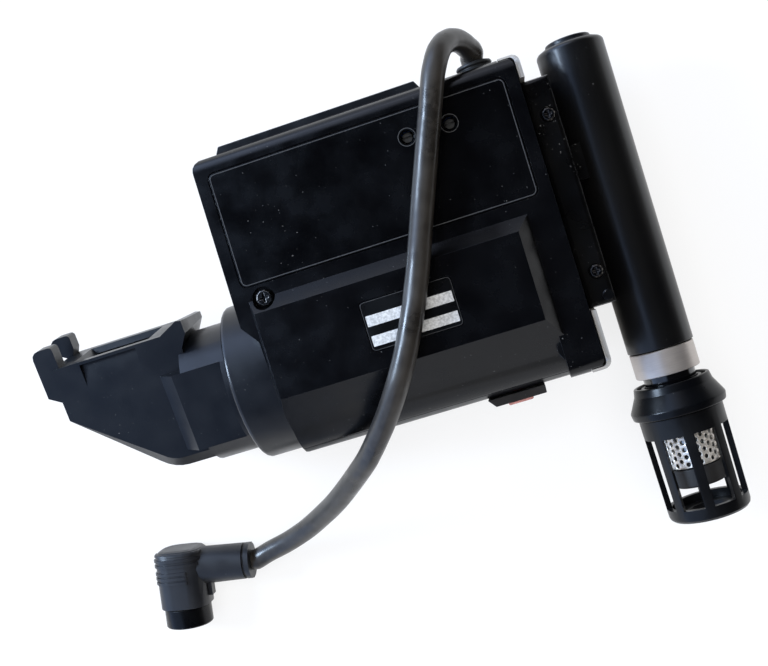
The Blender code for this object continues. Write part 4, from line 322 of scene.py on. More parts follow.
def layered(tree, under, over, share):
    """Colour over laid on colour under where share is one. Colours are sockets or plain values."""
    mixed = tree.nodes.new("ShaderNodeMix")
    mixed.data_type = "RGBA"
    for place, value in ((0, share), (6, under), (7, over)):
        if isinstance(value, bpy.types.NodeSocket):
            tree.links.new(value, mixed.inputs[place])
        elif place:
            mixed.inputs[place].default_value = (*value, 1)
        else:
            mixed.inputs[place].default_value = value
    return mixed.outputs[2]


def dents(tree, shader, source, height, under=None):
    """Bump of the given height in metres, on top of another bump if there is one."""
    bump = add_node(tree, "ShaderNodeBump", Strength=1.0, Distance=height)
    tree.links.new(source, bump.inputs["Height"])
    if under:
        tree.links.new(under, bump.inputs["Normal"])
    tree.links.new(bump.outputs["Normal"], shader.inputs["Normal"])
    return bump.outputs["Normal"]


def dust(tree, amount):
    """Specks of dust of uneven shape: only the highest peaks of a fine noise, thicker in some places."""
    peaks = grain(tree, 0.62 * MM, 1.5, shift=9.4)
    drifts = spread(tree, grain(tree, 16 * MM, 3.0, shift=8.1), -amount, amount)
    return spread(tree, math_node(tree, "ADD", peaks, drifts), 0, 0.8, 0.775 - amount, 0.82 - amount)


print("finish tools ready")

# %% [markdown]
# ## Moulded black plastic
# The housing, the mirror box, the collar and the microphone's head are moulded in a black that is
# never pure black: it is slightly blue, with a fine spark-eroded grain, cloudy patches from handling
# and a few specks of dust. The same recipe serves them all with other numbers.

# %% Moulded black plastic


GRAIN_SIZE = 0.35 * MM


def moulded(name, deep, worn, roughness, grain_height, specks=0.0, mirror=1.46):
    """Moulded plastic: two near tones in clouds, uneven gloss, fine grain and some dust."""
    material, tree, shader = new_finish(name, roughness, IOR=mirror)
    clouds = grain(tree, 14 * MM, 4.0)
    colour = layered(tree, deep, worn, spread(tree, clouds, 0, 1))
    if specks:
        colour = layered(tree, colour, DUST, dust(tree, specks))
    tree.links.new(colour, shader.inputs["Base Color"])
    gloss = grain(tree, 7 * MM, 5.0, shift=3.1)
    tree.links.new(spread(tree, gloss, roughness - 0.05, roughness + 0.07), shader.inputs["Roughness"])
    fine = grain(tree, GRAIN_SIZE, 2.0, shift=5.7)
    soft = dents(tree, shader, gloss, grain_height * 6)
    dents(tree, shader, fine, grain_height, soft)
    return material


DUST = (0.12, 0.12, 0.116)
cover_black = moulded("satin_black_cover", (0.0010, 0.0010, 0.0013), (0.0019, 0.0019, 0.0023), 0.23,
                      0.004 * MM, 0.02)
shell_black = moulded("satin_black_shell", (0.0018, 0.0019, 0.0026), (0.0032, 0.0034, 0.0042), 0.36,
                      0.005 * MM, 0.02)
turret_black = moulded("satin_black_mirror_box", (0.0026, 0.0032, 0.0050), (0.0042, 0.0048, 0.0066), 0.34,
                       0.005 * MM, 0.02)
collar_black = moulded("satin_black_collar", (0.0026, 0.0030, 0.0044), (0.0042, 0.0046, 0.006), 0.34, 0.004 * MM, 0.02)
bracket_black = moulded("satin_black_bracket", (0.0013, 0.0013, 0.0015), (0.0026, 0.0025, 0.0024), 0.30,
                        0.006 * MM, 0.045)
head_black = moulded("satin_black_microphone_head", (0.0016, 0.0018, 0.0024), (0.0030, 0.0030, 0.0032), 0.28,
                     0.003 * MM, 0.01, mirror=1.32)
cage_black = moulded("satin_black_cage", (0.0024, 0.0024, 0.0028), (0.0045, 0.0045, 0.0048), 0.34, 0.004 * MM,
                     mirror=1.34)
tally_black = moulded("dusty_black_lamp_housing", (0.011, 0.0095, 0.008), (0.022, 0.019, 0.0165), 0.42,
                      0.006 * MM, 0.02)
# The edge strips' lighter tone is partly rubbed wear and partly a painted highlight along the edges.
edge_wear_and_highlight = moulded("rubbed_black_edge_and_painted_highlight", (0.006, 0.006, 0.0075), (0.024, 0.024, 0.026), 0.28, 0.003 * MM)
print("moulded finishes:", 9)

# %% [markdown]
# ## Metals
# Turned parts, such as the bright band, carry fine rings round their axis. Sheet and screws carry
# long scratches. Noise that is stretched a hundred times in one direction gives both: it changes
# quickly along the axis of a turned part and hardly at all round it.

# %% Metals


def metal(name, light, dark, roughness, stretch, scratch=0.0015 * MM, size=0.25 * MM, share=1.0):
    """Bare metal with fine marks that run across the stretched direction."""
    material, tree, shader = new_finish(name, roughness, Metallic=share)
    marks = grain(tree, size, 4.0, stretch)
    clouds = grain(tree, 9 * MM, 3.0, shift=2.3)
    colour = layered(tree, dark, light, spread(tree, marks, 0, 1, 0.3, 0.7))
    tree.links.new(layered(tree, colour, dark, spread(tree, clouds, 0, 0.5, 0.5, 0.7)), shader.inputs["Base Color"])
    tree.links.new(spread(tree, marks, roughness - 0.06, roughness + 0.08), shader.inputs["Roughness"])
    dents(tree, shader, marks, scratch)
    return material


band_metal = metal("turned_bright_band", (0.60, 0.55, 0.51), (0.50, 0.455, 0.42), 0.38, (0.04, 1.0, 0.04),
                   0.0004 * MM, 0.12 * MM, 0.7)
plate_metal = metal("brushed_end_plate", (0.52, 0.50, 0.47), (0.38, 0.36, 0.33), 0.36, (1.0, 0.03, 1.0), share=0.6)
sleeve_metal = metal("perforated_sleeve_sheet", (0.92, 0.87, 0.80), (0.74, 0.68, 0.60), 0.34, (1, 1, 1), share=0.65)
plated_steel = metal("zinc_plated_steel", (0.62, 0.62, 0.60), (0.40, 0.40, 0.36), 0.34, (1, 1, 0.2))
spring_steel = metal("blued_spring_steel", (0.30, 0.31, 0.34), (0.18, 0.18, 0.20), 0.30, (0.1, 1, 1))
black_steel = metal("blackened_screw", (0.050, 0.047, 0.045), (0.012, 0.012, 0.013), 0.36, (1, 1, 1))
worn_steel = metal("rubbed_screw_edge", (0.34, 0.31, 0.28), (0.08, 0.075, 0.07), 0.36, (1, 1, 1))
can_metal = metal("drawn_capsule_can", (0.60, 0.60, 0.58), (0.42, 0.42, 0.40), 0.3, (0.1, 1, 0.1))
gold_metal = metal("gilded_contacts", (0.90, 0.68, 0.32), (0.66, 0.46, 0.20), 0.24, (1, 0.2, 1))
print("metals:", 9)

# %% [markdown]
# ## Paint, print, rubber and glass
# The microphone tube is metal under satin paint, and the tube that slides in it is glossier. The
# label is a printed plate. The lens is a clear red plastic. Each is a small change of the moulded
# recipe or a few sockets of the same shader.

# %% Paint, print, rubber and glass


def painted(name, deep, worn, roughness, coat):
    """Sprayed paint: very slight orange peel under a thin clear coat."""
    material, tree, shader = new_finish(name, roughness, Coat_Weight=coat, Coat_Roughness=0.12)
    clouds = grain(tree, 11 * MM, 4.0, (1, 0.35, 1))
    colour = layered(tree, deep, worn, spread(tree, clouds, 0, 1))
    colour = layered(tree, colour, DUST, dust(tree, 0.015))
    tree.links.new(colour, shader.inputs["Base Color"])
    tree.links.new(spread(tree, clouds, roughness - 0.04, roughness + 0.06), shader.inputs["Roughness"])
    peel = dents(tree, shader, grain(tree, 1.4 * MM, 1.0, shift=4.4), 0.004 * MM)
    dents(tree, shader, grain(tree, 0.3 * MM, 1.0, shift=1.4), 0.0015 * MM, peel)
    return material


def printed(name, colour, faded, roughness):
    """Screen-printed ink, slightly uneven and worn through in pinholes."""
    material, tree, shader = new_finish(name, roughness)
    even = layered(tree, colour, faded, spread(tree, grain(tree, 0.5 * MM, 5.0), 0, 1))
    holes = spread(tree, grain(tree, 0.16 * MM, 3.0, shift=6.6), 0, 0.8, 0.66, 0.74)
    tree.links.new(layered(tree, even, (0.03, 0.03, 0.03), holes), shader.inputs["Base Color"])
    dents(tree, shader, holes, -0.01 * MM)
    return material


def clear(name, colour, roughness, ior, cloud_size, share=0.85):
    """Clear plastic or glass with a slight unevenness in its gloss."""
    material, tree, shader = new_finish(name, roughness, IOR=ior, Transmission_Weight=share)
    clouds = grain(tree, cloud_size, 3.0)
    deep = tuple(c * 0.7 for c in colour)
    tree.links.new(layered(tree, deep, colour, spread(tree, clouds, 0, 1)), shader.inputs["Base Color"])
    tree.links.new(spread(tree, clouds, roughness, roughness + 0.06), shader.inputs["Roughness"])
    dents(tree, shader, clouds, 0.01 * MM)
    return material


tube_paint = painted("satin_black_tube_paint", (0.0026, 0.0026, 0.0031), (0.0042, 0.0040, 0.0038), 0.34, 0.1)
boom_paint = painted("gloss_black_boom", (0.0016, 0.0016, 0.0022), (0.003, 0.003, 0.0035), 0.12, 0.6)
label_black = moulded("printed_label_black", (0.0009, 0.0009, 0.0011), (0.0015, 0.0015, 0.0018), 0.22,
                      0.003 * MM, 0.022)
sticker_black = moulded("sticker_film_black", (0.0015, 0.0015, 0.0016), (0.0024, 0.0024, 0.0025), 0.26,
                        0.003 * MM, 0.02)
line_grey = printed("thin_printed_line", (0.045, 0.045, 0.046), (0.022, 0.022, 0.023), 0.45)
ring_grey = printed("printed_hole_ring", (0.06, 0.06, 0.059), (0.035, 0.035, 0.036), 0.45)
bar_silver = printed("pale_sticker_bar", (0.60, 0.60, 0.59), (0.34, 0.34, 0.335), 0.35)
lens_red = clear("clear_red_lens", (0.93, 0.42, 0.36), 0.12, 1.49, 2 * MM, 0.35)
lamp_glass = clear("red_lamp_glass", (0.9, 0.16, 0.08), 0.05, 1.5, 3 * MM)
print("paints, prints and clear finishes:", 9)

# %% [markdown]
# The cord's sheath is soft and a little wavy, with a dull sheen. The plug, the gland and the rubber
# mount are softer mouldings with a broader grain.

# %% Sheath and rubber


def sheathed(name, deep, worn, roughness):
    """Soft sheath: long shallow waves, a matt bloom and small nicks."""
    material, tree, shader = new_finish(name, roughness, IOR=1.5)
    clouds = grain(tree, 9 * MM, 4.0)
    bloom = spread(tree, grain(tree, 2.2 * MM, 5.0, shift=2.7), 0, 1, 0.45, 0.7)
    colour = layered(tree, layered(tree, deep, worn, spread(tree, clouds, 0, 1)), worn, bloom)
    tree.links.new(colour, shader.inputs["Base Color"])
    tree.links.new(spread(tree, clouds, roughness - 0.05, roughness + 0.09), shader.inputs["Roughness"])
    waves = dents(tree, shader, grain(tree, 5.5 * MM, 1.0, shift=1.2), 0.22 * MM)
    dents(tree, shader, grain(tree, 0.5 * MM, 3.0, shift=7.2), 0.006 * MM, waves)
    return material


cord_grey = sheathed("satin_cord_sheath", (0.014, 0.0122, 0.0105), (0.032, 0.028, 0.0235), 0.30)
plug_grey = moulded("moulded_plug_grey", (0.010, 0.0105, 0.0125), (0.019, 0.0195, 0.022), 0.40, 0.006 * MM, 0.02)
gland_rubber = moulded("gland_rubber", (0.010, 0.010, 0.011), (0.018, 0.018, 0.018), 0.46, 0.008 * MM, 0.01)
mount_rubber = moulded("matt_mount_rubber", (0.012, 0.011, 0.011), (0.020, 0.019, 0.018), 0.6, 0.01 * MM)
red_rubber = moulded("red_lead_rubber", (0.16, 0.012, 0.010), (0.24, 0.02, 0.016), 0.42, 0.005 * MM)
brown_rubber = moulded("anode_cap_rubber", (0.05, 0.018, 0.014), (0.08, 0.03, 0.022), 0.5, 0.008 * MM)
cord.data.materials.append(cord_grey)
print("sheath and rubbers:", 6)

# %% [markdown]
# ## Finishes for the parts inside
# The housing is closed, but the inside is part of the object. The tube is coated glass, the yoke
# is ferrite with enamelled copper windings, and the boards are a brown laminate with the shadow of
# copper tracks.

# %% Finishes for the parts inside


def wound(name, light, dark, pitch, ways):
    """Windings: even ridges across the wound direction, from a wave texture."""
    material, tree, shader = new_finish(name, 0.3, Metallic=0.7)
    where, scaled = tree.nodes.new("ShaderNodeTexCoord"), tree.nodes.new("ShaderNodeMapping")
    scaled.inputs["Scale"].default_value = [1 / pitch] * 3
    ridges = add_node(tree, "ShaderNodeTexWave", Scale=0.314, Distortion=1.2, Detail=2.0)
    ridges.bands_direction = ways
    tree.links.new(where.outputs["Object"], scaled.inputs["Vector"])
    tree.links.new(scaled.outputs["Vector"], ridges.inputs["Vector"])
    tree.links.new(layered(tree, dark, light, ridges.outputs["Fac"]), shader.inputs["Base Color"])
    dents(tree, shader, ridges.outputs["Fac"], 0.05 * MM)
    return material


def laminate(name):
    """Brown board with lighter tracks that show through the varnish."""
    material, tree, shader = new_finish(name, 0.35, Coat_Weight=0.3)
    fibres = grain(tree, 1.2 * MM, 5.0, (1, 0.15, 1))
    board = layered(tree, (0.13, 0.060, 0.022), (0.20, 0.095, 0.035), spread(tree, fibres, 0, 1))
    where, scaled = tree.nodes.new("ShaderNodeTexCoord"), tree.nodes.new("ShaderNodeMapping")
    scaled.inputs["Scale"].default_value = [1 / (4 * MM)] * 3
    cells = add_node(tree, "ShaderNodeTexVoronoi", Scale=1.0)
    cells.distance = "CHEBYCHEV"
    tree.links.new(where.outputs["Object"], scaled.inputs["Vector"])
    tree.links.new(scaled.outputs["Vector"], cells.inputs["Vector"])
    tracks = spread(tree, cells.outputs["Distance"], 0, 0.7, 0.42, 0.46)
    tree.links.new(layered(tree, board, (0.30, 0.17, 0.05), tracks), shader.inputs["Base Color"])
    dents(tree, shader, tracks, 0.03 * MM)
    return material


copper_winding = wound("enamelled_copper_winding", (0.62, 0.26, 0.10), (0.26, 0.09, 0.03), 0.4 * MM, "X")
board_brown = laminate("brown_board_laminate")
tube_glass = clear("coated_tube_glass", (0.42, 0.46, 0.45), 0.10, 1.52, 12 * MM)
ferrite = moulded("grey_ferrite", (0.035, 0.035, 0.037), (0.06, 0.06, 0.062), 0.55, 0.02 * MM)
chip_black = moulded("moulded_chip_black", (0.012, 0.012, 0.012), (0.02, 0.02, 0.02), 0.5, 0.01 * MM)
potted_black = moulded("potting_resin", (0.008, 0.008, 0.009), (0.014, 0.014, 0.015), 0.22, 0.01 * MM)
cream_plastic = moulded("cream_moulding", (0.50, 0.46, 0.36), (0.62, 0.58, 0.48), 0.45, 0.006 * MM)
blue_plastic = moulded("blue_sleeve", (0.016, 0.045, 0.16), (0.025, 0.07, 0.22), 0.32, 0.004 * MM)
clamp_black = moulded("clamp_moulding", (0.02, 0.02, 0.02), (0.032, 0.032, 0.032), 0.5, 0.01 * MM)
print("inside finishes:", 9)


def silvered():
    """Front-silvered mirror with the faint marks that wiping leaves."""
    material, tree, shader = new_finish("front_silvered_mirror", 0.04, Metallic=1.0)
    marks = grain(tree, 3 * MM, 5.0, (0.2, 1, 1))
    tree.links.new(layered(tree, (0.80, 0.82, 0.82), (0.90, 0.91, 0.90), spread(tree, marks, 0, 1)),
                   shader.inputs["Base Color"])
    tree.links.new(spread(tree, marks, 0.02, 0.09), shader.inputs["Roughness"])
    return material


mirror_silver = silvered()

# %% [markdown]
# ## Dressing the solids that stay
# A solid whose form is right keeps it. A weld joins its faces again, a bevel takes the knife edge off
# every corner that is sharper than twenty-four degrees, and weighted normals keep the flats flat. The
# bevel's strips get a lighter finish of their own: partly the wear that hands rub into those edges,
# partly a painted highlight along them.

# %% Dressing the solids that stay
EDGE_ANGLE = math.radians(24)


def round_edges(piece, width, strip=0):
    """Rounds the sharp edges of a piece without touching its mesh."""
    weld = piece.modifiers.new("weld", "WELD")
    weld.merge_threshold = 0.002 * MM
    edge = piece.modifiers.new("edge", "BEVEL")
    edge.width, edge.segments, edge.limit_method, edge.angle_limit = width, 2, "ANGLE", EDGE_ANGLE
    edge.material = strip
    edge.use_clamp_overlap = True
    even = piece.modifiers.new("even", "WEIGHTED_NORMAL")
    even.weight = 100
    even.keep_sharp = False


def dress(name, finish, width, edge=None):
    """Gives a solid its finish and its soft edges."""
    piece = nodes[name]
    piece.data.materials.clear()
    piece.data.materials.append(finish)
    if edge:
        piece.data.materials.append(edge)
    if width:
        round_edges(piece, width, 1 if edge else 0)


OUTSIDE = [
    ("front_cover", cover_black, 0.25, edge_wear_and_highlight), ("rear_shell", shell_black, 0.25, edge_wear_and_highlight),
    ("label_plate", label_black, 0.06, None), ("data_sticker", sticker_black, 0.06, None),
    ("end_plate", plate_metal, 0.2, None), ("rail_plate", shell_black, 0.2, edge_wear_and_highlight),
    ("tally_housing", tally_black, 0.2, edge_wear_and_highlight),
    ("mirror_box", turret_black, 0.2, edge_wear_and_highlight), ("mic_bracket", bracket_black, 0.2, edge_wear_and_highlight),
    ("plug_body", plug_grey, 0.12, None), ("plug_contacts", gold_metal, 0.05, None),
    ("cover_screw", black_steel, 0.12, worn_steel), ("bracket_screw_1", black_steel, 0.12, worn_steel),
    ("bracket_screw_2", black_steel, 0.12, worn_steel),
]
for name, finish, width, edge in OUTSIDE:
    dress(name, finish, width * MM, edge)
print("outside solids dressed:", len(OUTSIDE))

# %% [markdown]
# The parts inside follow by the same rule, in one list: what the piece is, and what it is made of.

# %% Dressing the parts inside
INSIDE = {
    "back_screw_1": black_steel, "back_screw_2": black_steel, "back_screw_3": black_steel,
    "board_screw_1": plated_steel, "board_screw_2": plated_steel, "gland_nut": plated_steel,
    "retaining_ring": spring_steel, "mirror_frame": spring_steel, "mirror": mirror_silver,
    "picture_tube": tube_glass, "tube_clamp": clamp_black, "deflection_yoke": ferrite,
    "yoke_coil": copper_winding, "centring_ring": ferrite, "tube_socket": cream_plastic,
    "socket_board": board_brown, "main_board": board_brown, "anode_cap": brown_rubber, "anode_lead": red_rubber,
    "capacitor_1": blue_plastic, "capacitor_2": blue_plastic, "deflection_chip": chip_black,
    "cord_header": cream_plastic, "flyback_transformer": potted_black, "flyback_core": ferrite,
    "focus_trimmer": blue_plastic, "bright_trimmer": blue_plastic, "focus_shaft": clamp_black,
    "bright_shaft": clamp_black, "tally_lamp": lamp_glass, "lamp_holder": cream_plastic,
    "mic_capsule": can_metal, "capsule_mount": mount_rubber,
}
for name, finish in INSIDE.items():
    dress(name, finish, 0 if name in ("anode_lead", "picture_tube") else 0.1 * MM)
print("inside solids dressed:", len(INSIDE))

# %% [markdown]
# ## Turned pieces
# The microphone's tube, cap, band, boom, head and foot are round. Their solids have few sides, which
# shows on an outline. Each is turned again here like work on a lathe: a profile of radius and place
# along the axis is spun in 96 steps. The places come from the solids' own boxes, so the new piece
# sits exactly where the old one does.

# %% A lathe
LATHE_STEPS = 96


def turn_piece(name, centre, profile):
    """Spins a closed profile of (radius, place) round the line through centre along Y."""
    points, rings = [], []
    for radius, place in profile:
        ring = []
        for k in range(LATHE_STEPS if radius > 0 else 1):
            angle = math.tau * k / LATHE_STEPS
            ring.append(len(points))
            points.append(Vector((radius * math.sin(angle), place, radius * math.cos(angle))) + centre)
        rings.append(ring)
    faces = []
    for low, high in zip(rings, rings[1:] + rings[:1]):
        for k in range(LATHE_STEPS):
            a, b = low[k % len(low)], low[(k + 1) % len(low)]
            c, d = high[(k + 1) % len(high)], high[k % len(high)]
            corners = [v for i, v in enumerate((a, b, c, d)) if v not in (a, b, c, d)[:i]]
            if len(corners) > 2:
                faces.append(corners)
    return smooth_piece(mesh_piece(name, points, faces))


def smooth_piece(piece, angle=38):
    """Faces outward, and smooth shading except across real corners."""
    work = bmesh.new()
    work.from_mesh(piece.data)
    bmesh.ops.remove_doubles(work, verts=work.verts, dist=0.001 * MM)
    bmesh.ops.recalc_face_normals(work, faces=work.faces)
    work.to_mesh(piece.data)
    work.free()
    piece.data.polygons.foreach_set("use_smooth", [True] * len(piece.data.polygons))
    piece.data.set_sharp_from_angle(angle=math.radians(angle))
    return piece


def bend(corners, radii, steps=5):
    """Replaces each corner of a closed outline that has a radius by an arc."""
    out = []
    for k, (corner, radius) in enumerate(zip(corners, radii)):
        here = Vector(corner)
        before, after = Vector(corners[k - 1]) - here, Vector(corners[(k + 1) % len(corners)]) - here
        if not radius:
            out.append(tuple(here))
            continue
        half = before.angle(after) / 2
        away = radius / math.tan(half)
        start, end = here + before.normalized() * away, here + after.normalized() * away
        centre = here + (before.normalized() + after.normalized()).normalized() * (radius / math.sin(half))
        for i in range(steps + 1):
            chord = start.lerp(end, i / steps) - centre
            out.append(tuple(centre + chord.normalized() * radius))
    return out


def stand_in(piece, node, body, finish):
    """The new piece takes the solid's place, its body and a finish."""
    piece.data.materials.append(finish)
    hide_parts(node)
    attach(piece, body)
    return piece


print("lathe steps:", LATHE_STEPS)

# %% [markdown]
# The outer tube narrows slightly towards the band and has a rolled back edge. A stepped cap closes
# it. The band is a turned ring with broken edges, and the boom runs inside them both.

# %% The microphone's tube, cap, band and boom
tube_low, tube_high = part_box("mic_tube")
mic_axis = Vector(((tube_low.x + tube_high.x) / 2, 0, (tube_low.z + tube_high.z) / 2))
tube_radius, mouth_radius, bore = (tube_high.x - tube_low.x) / 2, 8.36 * MM, 7.3 * MM
tube_outline = [(bore, tube_low.y), (mouth_radius, tube_low.y), (tube_radius, tube_high.y), (bore, tube_high.y)]
tube = turn_piece("microphone_tube", mic_axis, bend(tube_outline, [0, 0.15 * MM, 1.35 * MM, 0]))
stand_in(tube, "mic_tube", "housing", tube_paint)

cap_low, cap_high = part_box("tube_cap")
lid_foot, plug_radius, lid_radius = cap_high.y - 1.2 * MM, bore - 0.3 * MM, 5.8 * MM
cap_outline = [(0, cap_low.y), (plug_radius, cap_low.y), (plug_radius, lid_foot), (lid_radius, lid_foot),
               (lid_radius, cap_high.y), (0, cap_high.y)]
cap = turn_piece("tube_end_cap", mic_axis, bend(cap_outline, [0, 0.2 * MM, 0.15 * MM, 0.1 * MM, 0.45 * MM, 0]))
stand_in(cap, "tube_cap", "housing", collar_black)

band_low, band_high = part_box("tube_band")
band_radius = (band_high.x - band_low.x) / 2
band_outline = [(bore, band_low.y), (band_radius, band_low.y), (band_radius, band_high.y), (bore, band_high.y)]
band = turn_piece("bright_band", mic_axis, bend(band_outline, [0, 0.3 * MM, 0.3 * MM, 0]))
stand_in(band, "tube_band", "housing", band_metal)

boom_low, boom_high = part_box("boom_tube")
boom_bore, boom_radius, bush_radius, bush = 5.8 * MM, 6.6 * MM, 7.0 * MM, boom_high.y - 6.0 * MM
boom_outline = [(boom_bore, boom_low.y), (boom_radius, boom_low.y), (boom_radius, bush), (bush_radius, bush),
                (bush_radius, boom_high.y), (boom_bore, boom_high.y)]
boom = turn_piece("sliding_tube", mic_axis, bend(boom_outline, [0, 0.2 * MM, 0.1 * MM, 0.2 * MM, 0.2 * MM, 0]))
stand_in(boom, "boom_tube", "boom", boom_paint)
print("tube radius, band radius in mm:", round(tube_radius / MM, 2), round(band_radius / MM, 2))

# %% [markdown]
# ## The perforated sleeve
# Behind the cage's slots shines a sheet rolled to a tube, with staggered round holes 1.15 mm wide. A
# real hole needs real geometry here, because the dark inside shows through it. The pattern is laid
# out flat, one cell after another, with every second column half a cell lower, then rolled up.

# %% The perforated sleeve
sleeve_low, sleeve_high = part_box("capsule_sleeve")
sleeve_radius = (sleeve_high.x - sleeve_low.x) / 2
SLEEVE_COLUMNS, SLEEVE_ROWS, HOLE_SIDES, SHEET = 24, 7, 12, 0.3 * MM
cell_height = (sleeve_high.y - sleeve_low.y) / (SLEEVE_ROWS + 0.5)
cell_width = math.tau * sleeve_radius / SLEEVE_COLUMNS
hole_radius = 0.58 * MM


def sleeve_cell(points, faces, left, foot):
    """One cell of the flat sheet: a hole in a plate whose edge points match its neighbours'."""
    middle = Vector((left + cell_width / 2, foot + cell_height / 2))
    right, top = left + cell_width, foot + cell_height
    rim = [(left, foot), (right, foot), (right, middle.y), (right, top), (left, top), (left, middle.y)]
    hole = [(middle.x + hole_radius * math.cos(a), middle.y + hole_radius * math.sin(a))
            for a in (math.tau * k / HOLE_SIDES for k in range(HOLE_SIDES))]
    start = len(points)
    points += rim + hole
    compass = [math.atan2(p[1] - middle.y, p[0] - middle.x) % math.tau for p in rim]
    nearest = []
    for k in range(HOLE_SIDES):
        turned = [abs((way - math.tau * k / HOLE_SIDES + math.pi) % math.tau - math.pi) for way in compass]
        nearest.append(turned.index(min(turned)))
    for k in range(HOLE_SIDES):
        after = (k + 1) % HOLE_SIDES
        here, there = start + 6 + k, start + 6 + after
        if nearest[k] == nearest[after]:
            faces.append([here, start + nearest[k], there])
        else:
            faces.append([here, start + nearest[k], start + nearest[after], there])


def sleeve_sheet():
    points, faces = [], []
    for column in range(SLEEVE_COLUMNS):
        left, lift = column * cell_width, (column % 2) * cell_height / 2
        for row in range(SLEEVE_ROWS):
            sleeve_cell(points, faces, left, row * cell_height + lift)
        blank = SLEEVE_ROWS * cell_height if not column % 2 else 0.0
        start = len(points)
        points += [(left, blank), (left + cell_width, blank), (left + cell_width, blank + cell_height / 2),
                   (left, blank + cell_height / 2)]
        faces.append([start, start + 1, start + 2, start + 3])
    return points, faces


flat_points, flat_faces = sleeve_sheet()
rolled = [(mic_axis.x + (sleeve_radius - SHEET) * math.sin(u / sleeve_radius), sleeve_low.y + v,
           mic_axis.z + (sleeve_radius - SHEET) * math.cos(u / sleeve_radius)) for u, v in flat_points]
sleeve = smooth_piece(mesh_piece("perforated_sleeve", rolled, flat_faces), 60)
wall = sleeve.modifiers.new("sheet", "SOLIDIFY")
wall.thickness, wall.offset = SHEET, 1.0
stand_in(sleeve, "capsule_sleeve", "boom", sleeve_metal)
print("holes in the sleeve:", SLEEVE_COLUMNS * SLEEVE_ROWS)

# %% [markdown]
# ## The head and the foot
# The head flares from a narrow top to a skirt. Its top face has a shallow ring groove between an
# outer lip and an inner hub, and the lip is what catches the light. The foot under the sleeve is a
# plain rubber plug.

# %% The head and the foot
head_low, head_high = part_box("mic_head")
top, skirt = head_high.y, head_low.y + 1.8 * MM
head_outline = [(0, top - 2 * MM), (6.9 * MM, top - 2 * MM), (6.9 * MM, top - 0.3 * MM), (7.7 * MM, top - 0.3 * MM),
                (7.8 * MM, top - 0.9 * MM), (8.7 * MM, top - 0.9 * MM), (8.8 * MM, top), (9.6 * MM, top),
                (10.0 * MM, top - 2 * MM), (12.1 * MM, skirt), (11.8 * MM, head_low.y), (10.05 * MM, head_low.y),
                (10.05 * MM, top - 3.6 * MM), (0, top - 3.6 * MM)]
head_rounds = [0, 0.1, 0.1, 0.12, 0.15, 0.15, 0.2, 0.35, 0.8, 0.9, 0.4, 0.2, 0.1, 0]
head = turn_piece("microphone_head", mic_axis, bend(head_outline, [r * MM for r in head_rounds]))
stand_in(head, "mic_head", "boom", head_black)

foot_low, foot_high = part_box("capsule_foot")
foot_radius, plug_top_radius, foot_top = (foot_high.x - foot_low.x) / 2, 5.6 * MM, foot_low.y + 4.8 * MM
foot_outline = [(0, foot_low.y), (foot_radius, foot_low.y), (foot_radius, foot_top), (plug_top_radius, foot_top),
                (plug_top_radius, foot_high.y), (0, foot_high.y)]
foot = turn_piece("capsule_plug", mic_axis, bend(foot_outline, [0, 0.7 * MM, 0.25 * MM, 0.1 * MM, 0.2 * MM, 0]))
stand_in(foot, "capsule_foot", "boom", mount_rubber)
print("turned pieces:", 6)

# %% [markdown]
# ## The cage, the collar, the gland and the barrel
# These four keep their solids' form, slots and all. On the cage and the collar a small bevel with the
# lighter edge finish gives the ribs and the rims thin light lines: partly rubbed wear, partly a painted
# highlight along the edge.

# %% The cage, the collar, the gland and the barrel
dress("mic_cage", cage_black, 0.2 * MM, edge_wear_and_highlight)
dress("eyepiece_collar", collar_black, 0.3 * MM, edge_wear_and_highlight)
dress("cord_gland", gland_rubber, 0.3 * MM)
dress("plug_barrel", head_black, 0.15 * MM)
print("cage, collar, gland and barrel dressed")

# %% [markdown]
# ## Printed lines
# A thin pale line frames the label, and a ring marks each of the two screwdriver holes. A line of ink
# stands a few hundredths of a millimetre proud, so each is a flat strip of that thickness, made
# between an outline and the same outline moved inward.

# %% Printed lines
INK = 0.02 * MM
SMALLEST_CORNER = 0.05 * MM
RING_SIDES = 48


def framed(outline, inner, low, high):
    """A closed strip between two outlines with equal numbers of points."""
    count = len(outline)
    points = [(*p, z) for z in (low, high) for p in outline + inner]
    faces = []
    for k in range(count):
        n = (k + 1) % count
        o, i, up = (k, n), (count + k, count + n), 2 * count
        faces += [(o[0], i[0], i[1], o[1]), (up + o[0], up + o[1], up + i[1], up + i[0]),
                  (o[0], o[1], up + o[1], up + o[0]), (i[0], up + i[0], up + i[1], i[1])]
    return points, faces


def rounded_box(low, high, inset, radius, steps=6):
    """The corner points of a plate's outline, moved inward by inset."""
    left, right, front, back = low.x + inset, high.x - inset, low.y + inset, high.y - inset
    corners = [(left, front), (right, front), (right, back), (left, back)]
    return bend(corners, [max(radius - inset, SMALLEST_CORNER)] * 4, steps)


def printed_frame(name, node, inset, width, radius):
    low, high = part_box(node)
    points, faces = framed(rounded_box(low, high, inset, radius), rounded_box(low, high, inset + width, radius),
                           high.z, high.z + INK)
    frame_line = smooth_piece(mesh_piece(name, points, faces))
    frame_line.data.materials.append(line_grey)
    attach(frame_line, "housing")


def printed_ring(name, centre, radius, width, level):
    angles = [math.tau * k / RING_SIDES for k in range(RING_SIDES)]
    outer, inner = ([(centre[0] + r * math.cos(a), centre[1] + r * math.sin(a)) for a in angles]
                    for r in (radius, radius - width))
    ring = smooth_piece(mesh_piece(name, *framed(outer, inner, level, level + INK)))
    ring.data.materials.append(ring_grey)
    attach(ring, "housing")


label_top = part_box("label_plate")[1].z
printed_frame("label_border_line", "label_plate", 0.25 * MM, 0.22 * MM, 1.6 * MM)
for control in ("focus", "bright"):
    low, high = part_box(control + "_shaft")
    middle = ((low.x + high.x) / 2, (low.y + high.y) / 2)
    printed_ring(control + "_hole_ring", middle, 2.2 * MM, 0.15 * MM, label_top)
print("lines printed:", 3)

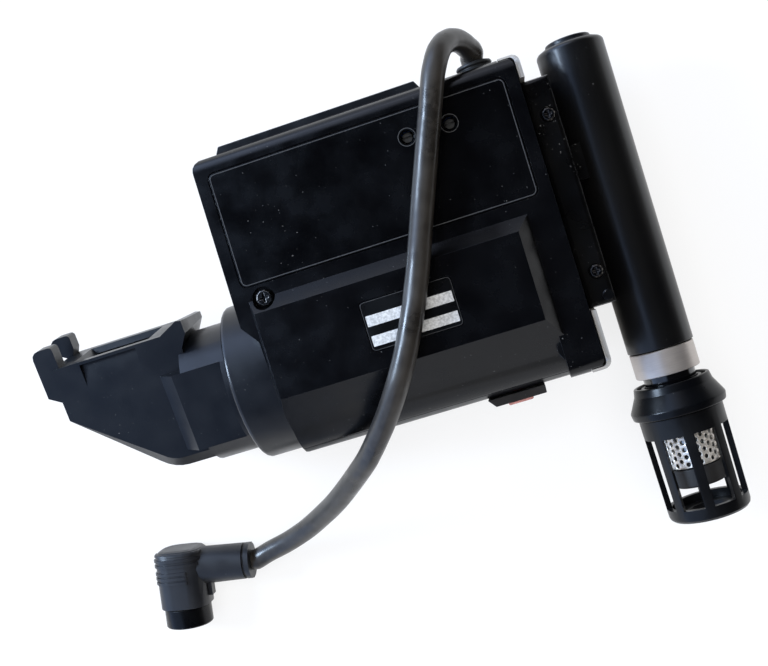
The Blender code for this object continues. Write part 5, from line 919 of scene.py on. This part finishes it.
# %% [markdown]
# ## The red lens
# The signal lamp's lens is a small pillow of clear red plastic that stands out of its housing, so a
# sliver of it shows even from above. It is a box whose long sides are bent by a bevel of several
# steps, as a moulded lens has no hard corner.

# %% The red lens
PILLOW_RISE, PILLOW_ROUND = 0.5 * MM, 0.45 * MM
lens_low, lens_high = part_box("tally_lens")
lens_front = lens_low.y - PILLOW_RISE
corners = [(x, y, z) for x in (lens_low.x, lens_high.x) for y in (lens_front, lens_high.y)
           for z in (lens_low.z, lens_high.z)]
lens_piece = mesh_piece("red_signal_lens", corners, [(0, 1, 3, 2), (4, 6, 7, 5), (0, 4, 5, 1), (2, 3, 7, 6),
                                                     (0, 2, 6, 4), (1, 5, 7, 3)])
lens_piece = smooth_piece(lens_piece, 60)
pillow = lens_piece.modifiers.new("pillow", "BEVEL")
pillow.width, pillow.segments, pillow.limit_method = PILLOW_ROUND, 5, "ANGLE"
stand_in(lens_piece, "tally_lens", "housing", lens_red)

# %% [markdown]
# ## The blank sticker
# The sticker has two pale fields for stamped figures and stays blank here. Each field is a film a few
# hundredths thick. A fine border runs round the edge.

# %% The blank sticker
FIELD_PLACES, FIELD_MARGIN = ((2.75, 5.3), (7.6, 10.2)), 0.55 * MM
sticker_low, sticker_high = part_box("data_sticker")
for number, (foot, top) in enumerate(FIELD_PLACES, 1):
    low = Vector((sticker_low.x + FIELD_MARGIN, foot * MM, 0))
    high = Vector((sticker_high.x - FIELD_MARGIN, top * MM, 0))
    outline = rounded_box(low, high, 0, 0.12 * MM, 3)
    count = len(outline)
    points = [(*p, z) for z in (sticker_high.z, sticker_high.z + INK) for p in outline]
    faces = [tuple(range(count))[::-1], tuple(range(count, 2 * count))]
    faces += [(k, (k + 1) % count, count + (k + 1) % count, count + k) for k in range(count)]
    field = smooth_piece(mesh_piece(f"sticker_field_{number}", points, faces))
    field.data.materials.append(bar_silver)
    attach(field, "housing")
printed_frame("sticker_border_line", "data_sticker", 0.02 * MM, 0.12 * MM, 1.0 * MM)
print("sticker fields:", len(FIELD_PLACES))
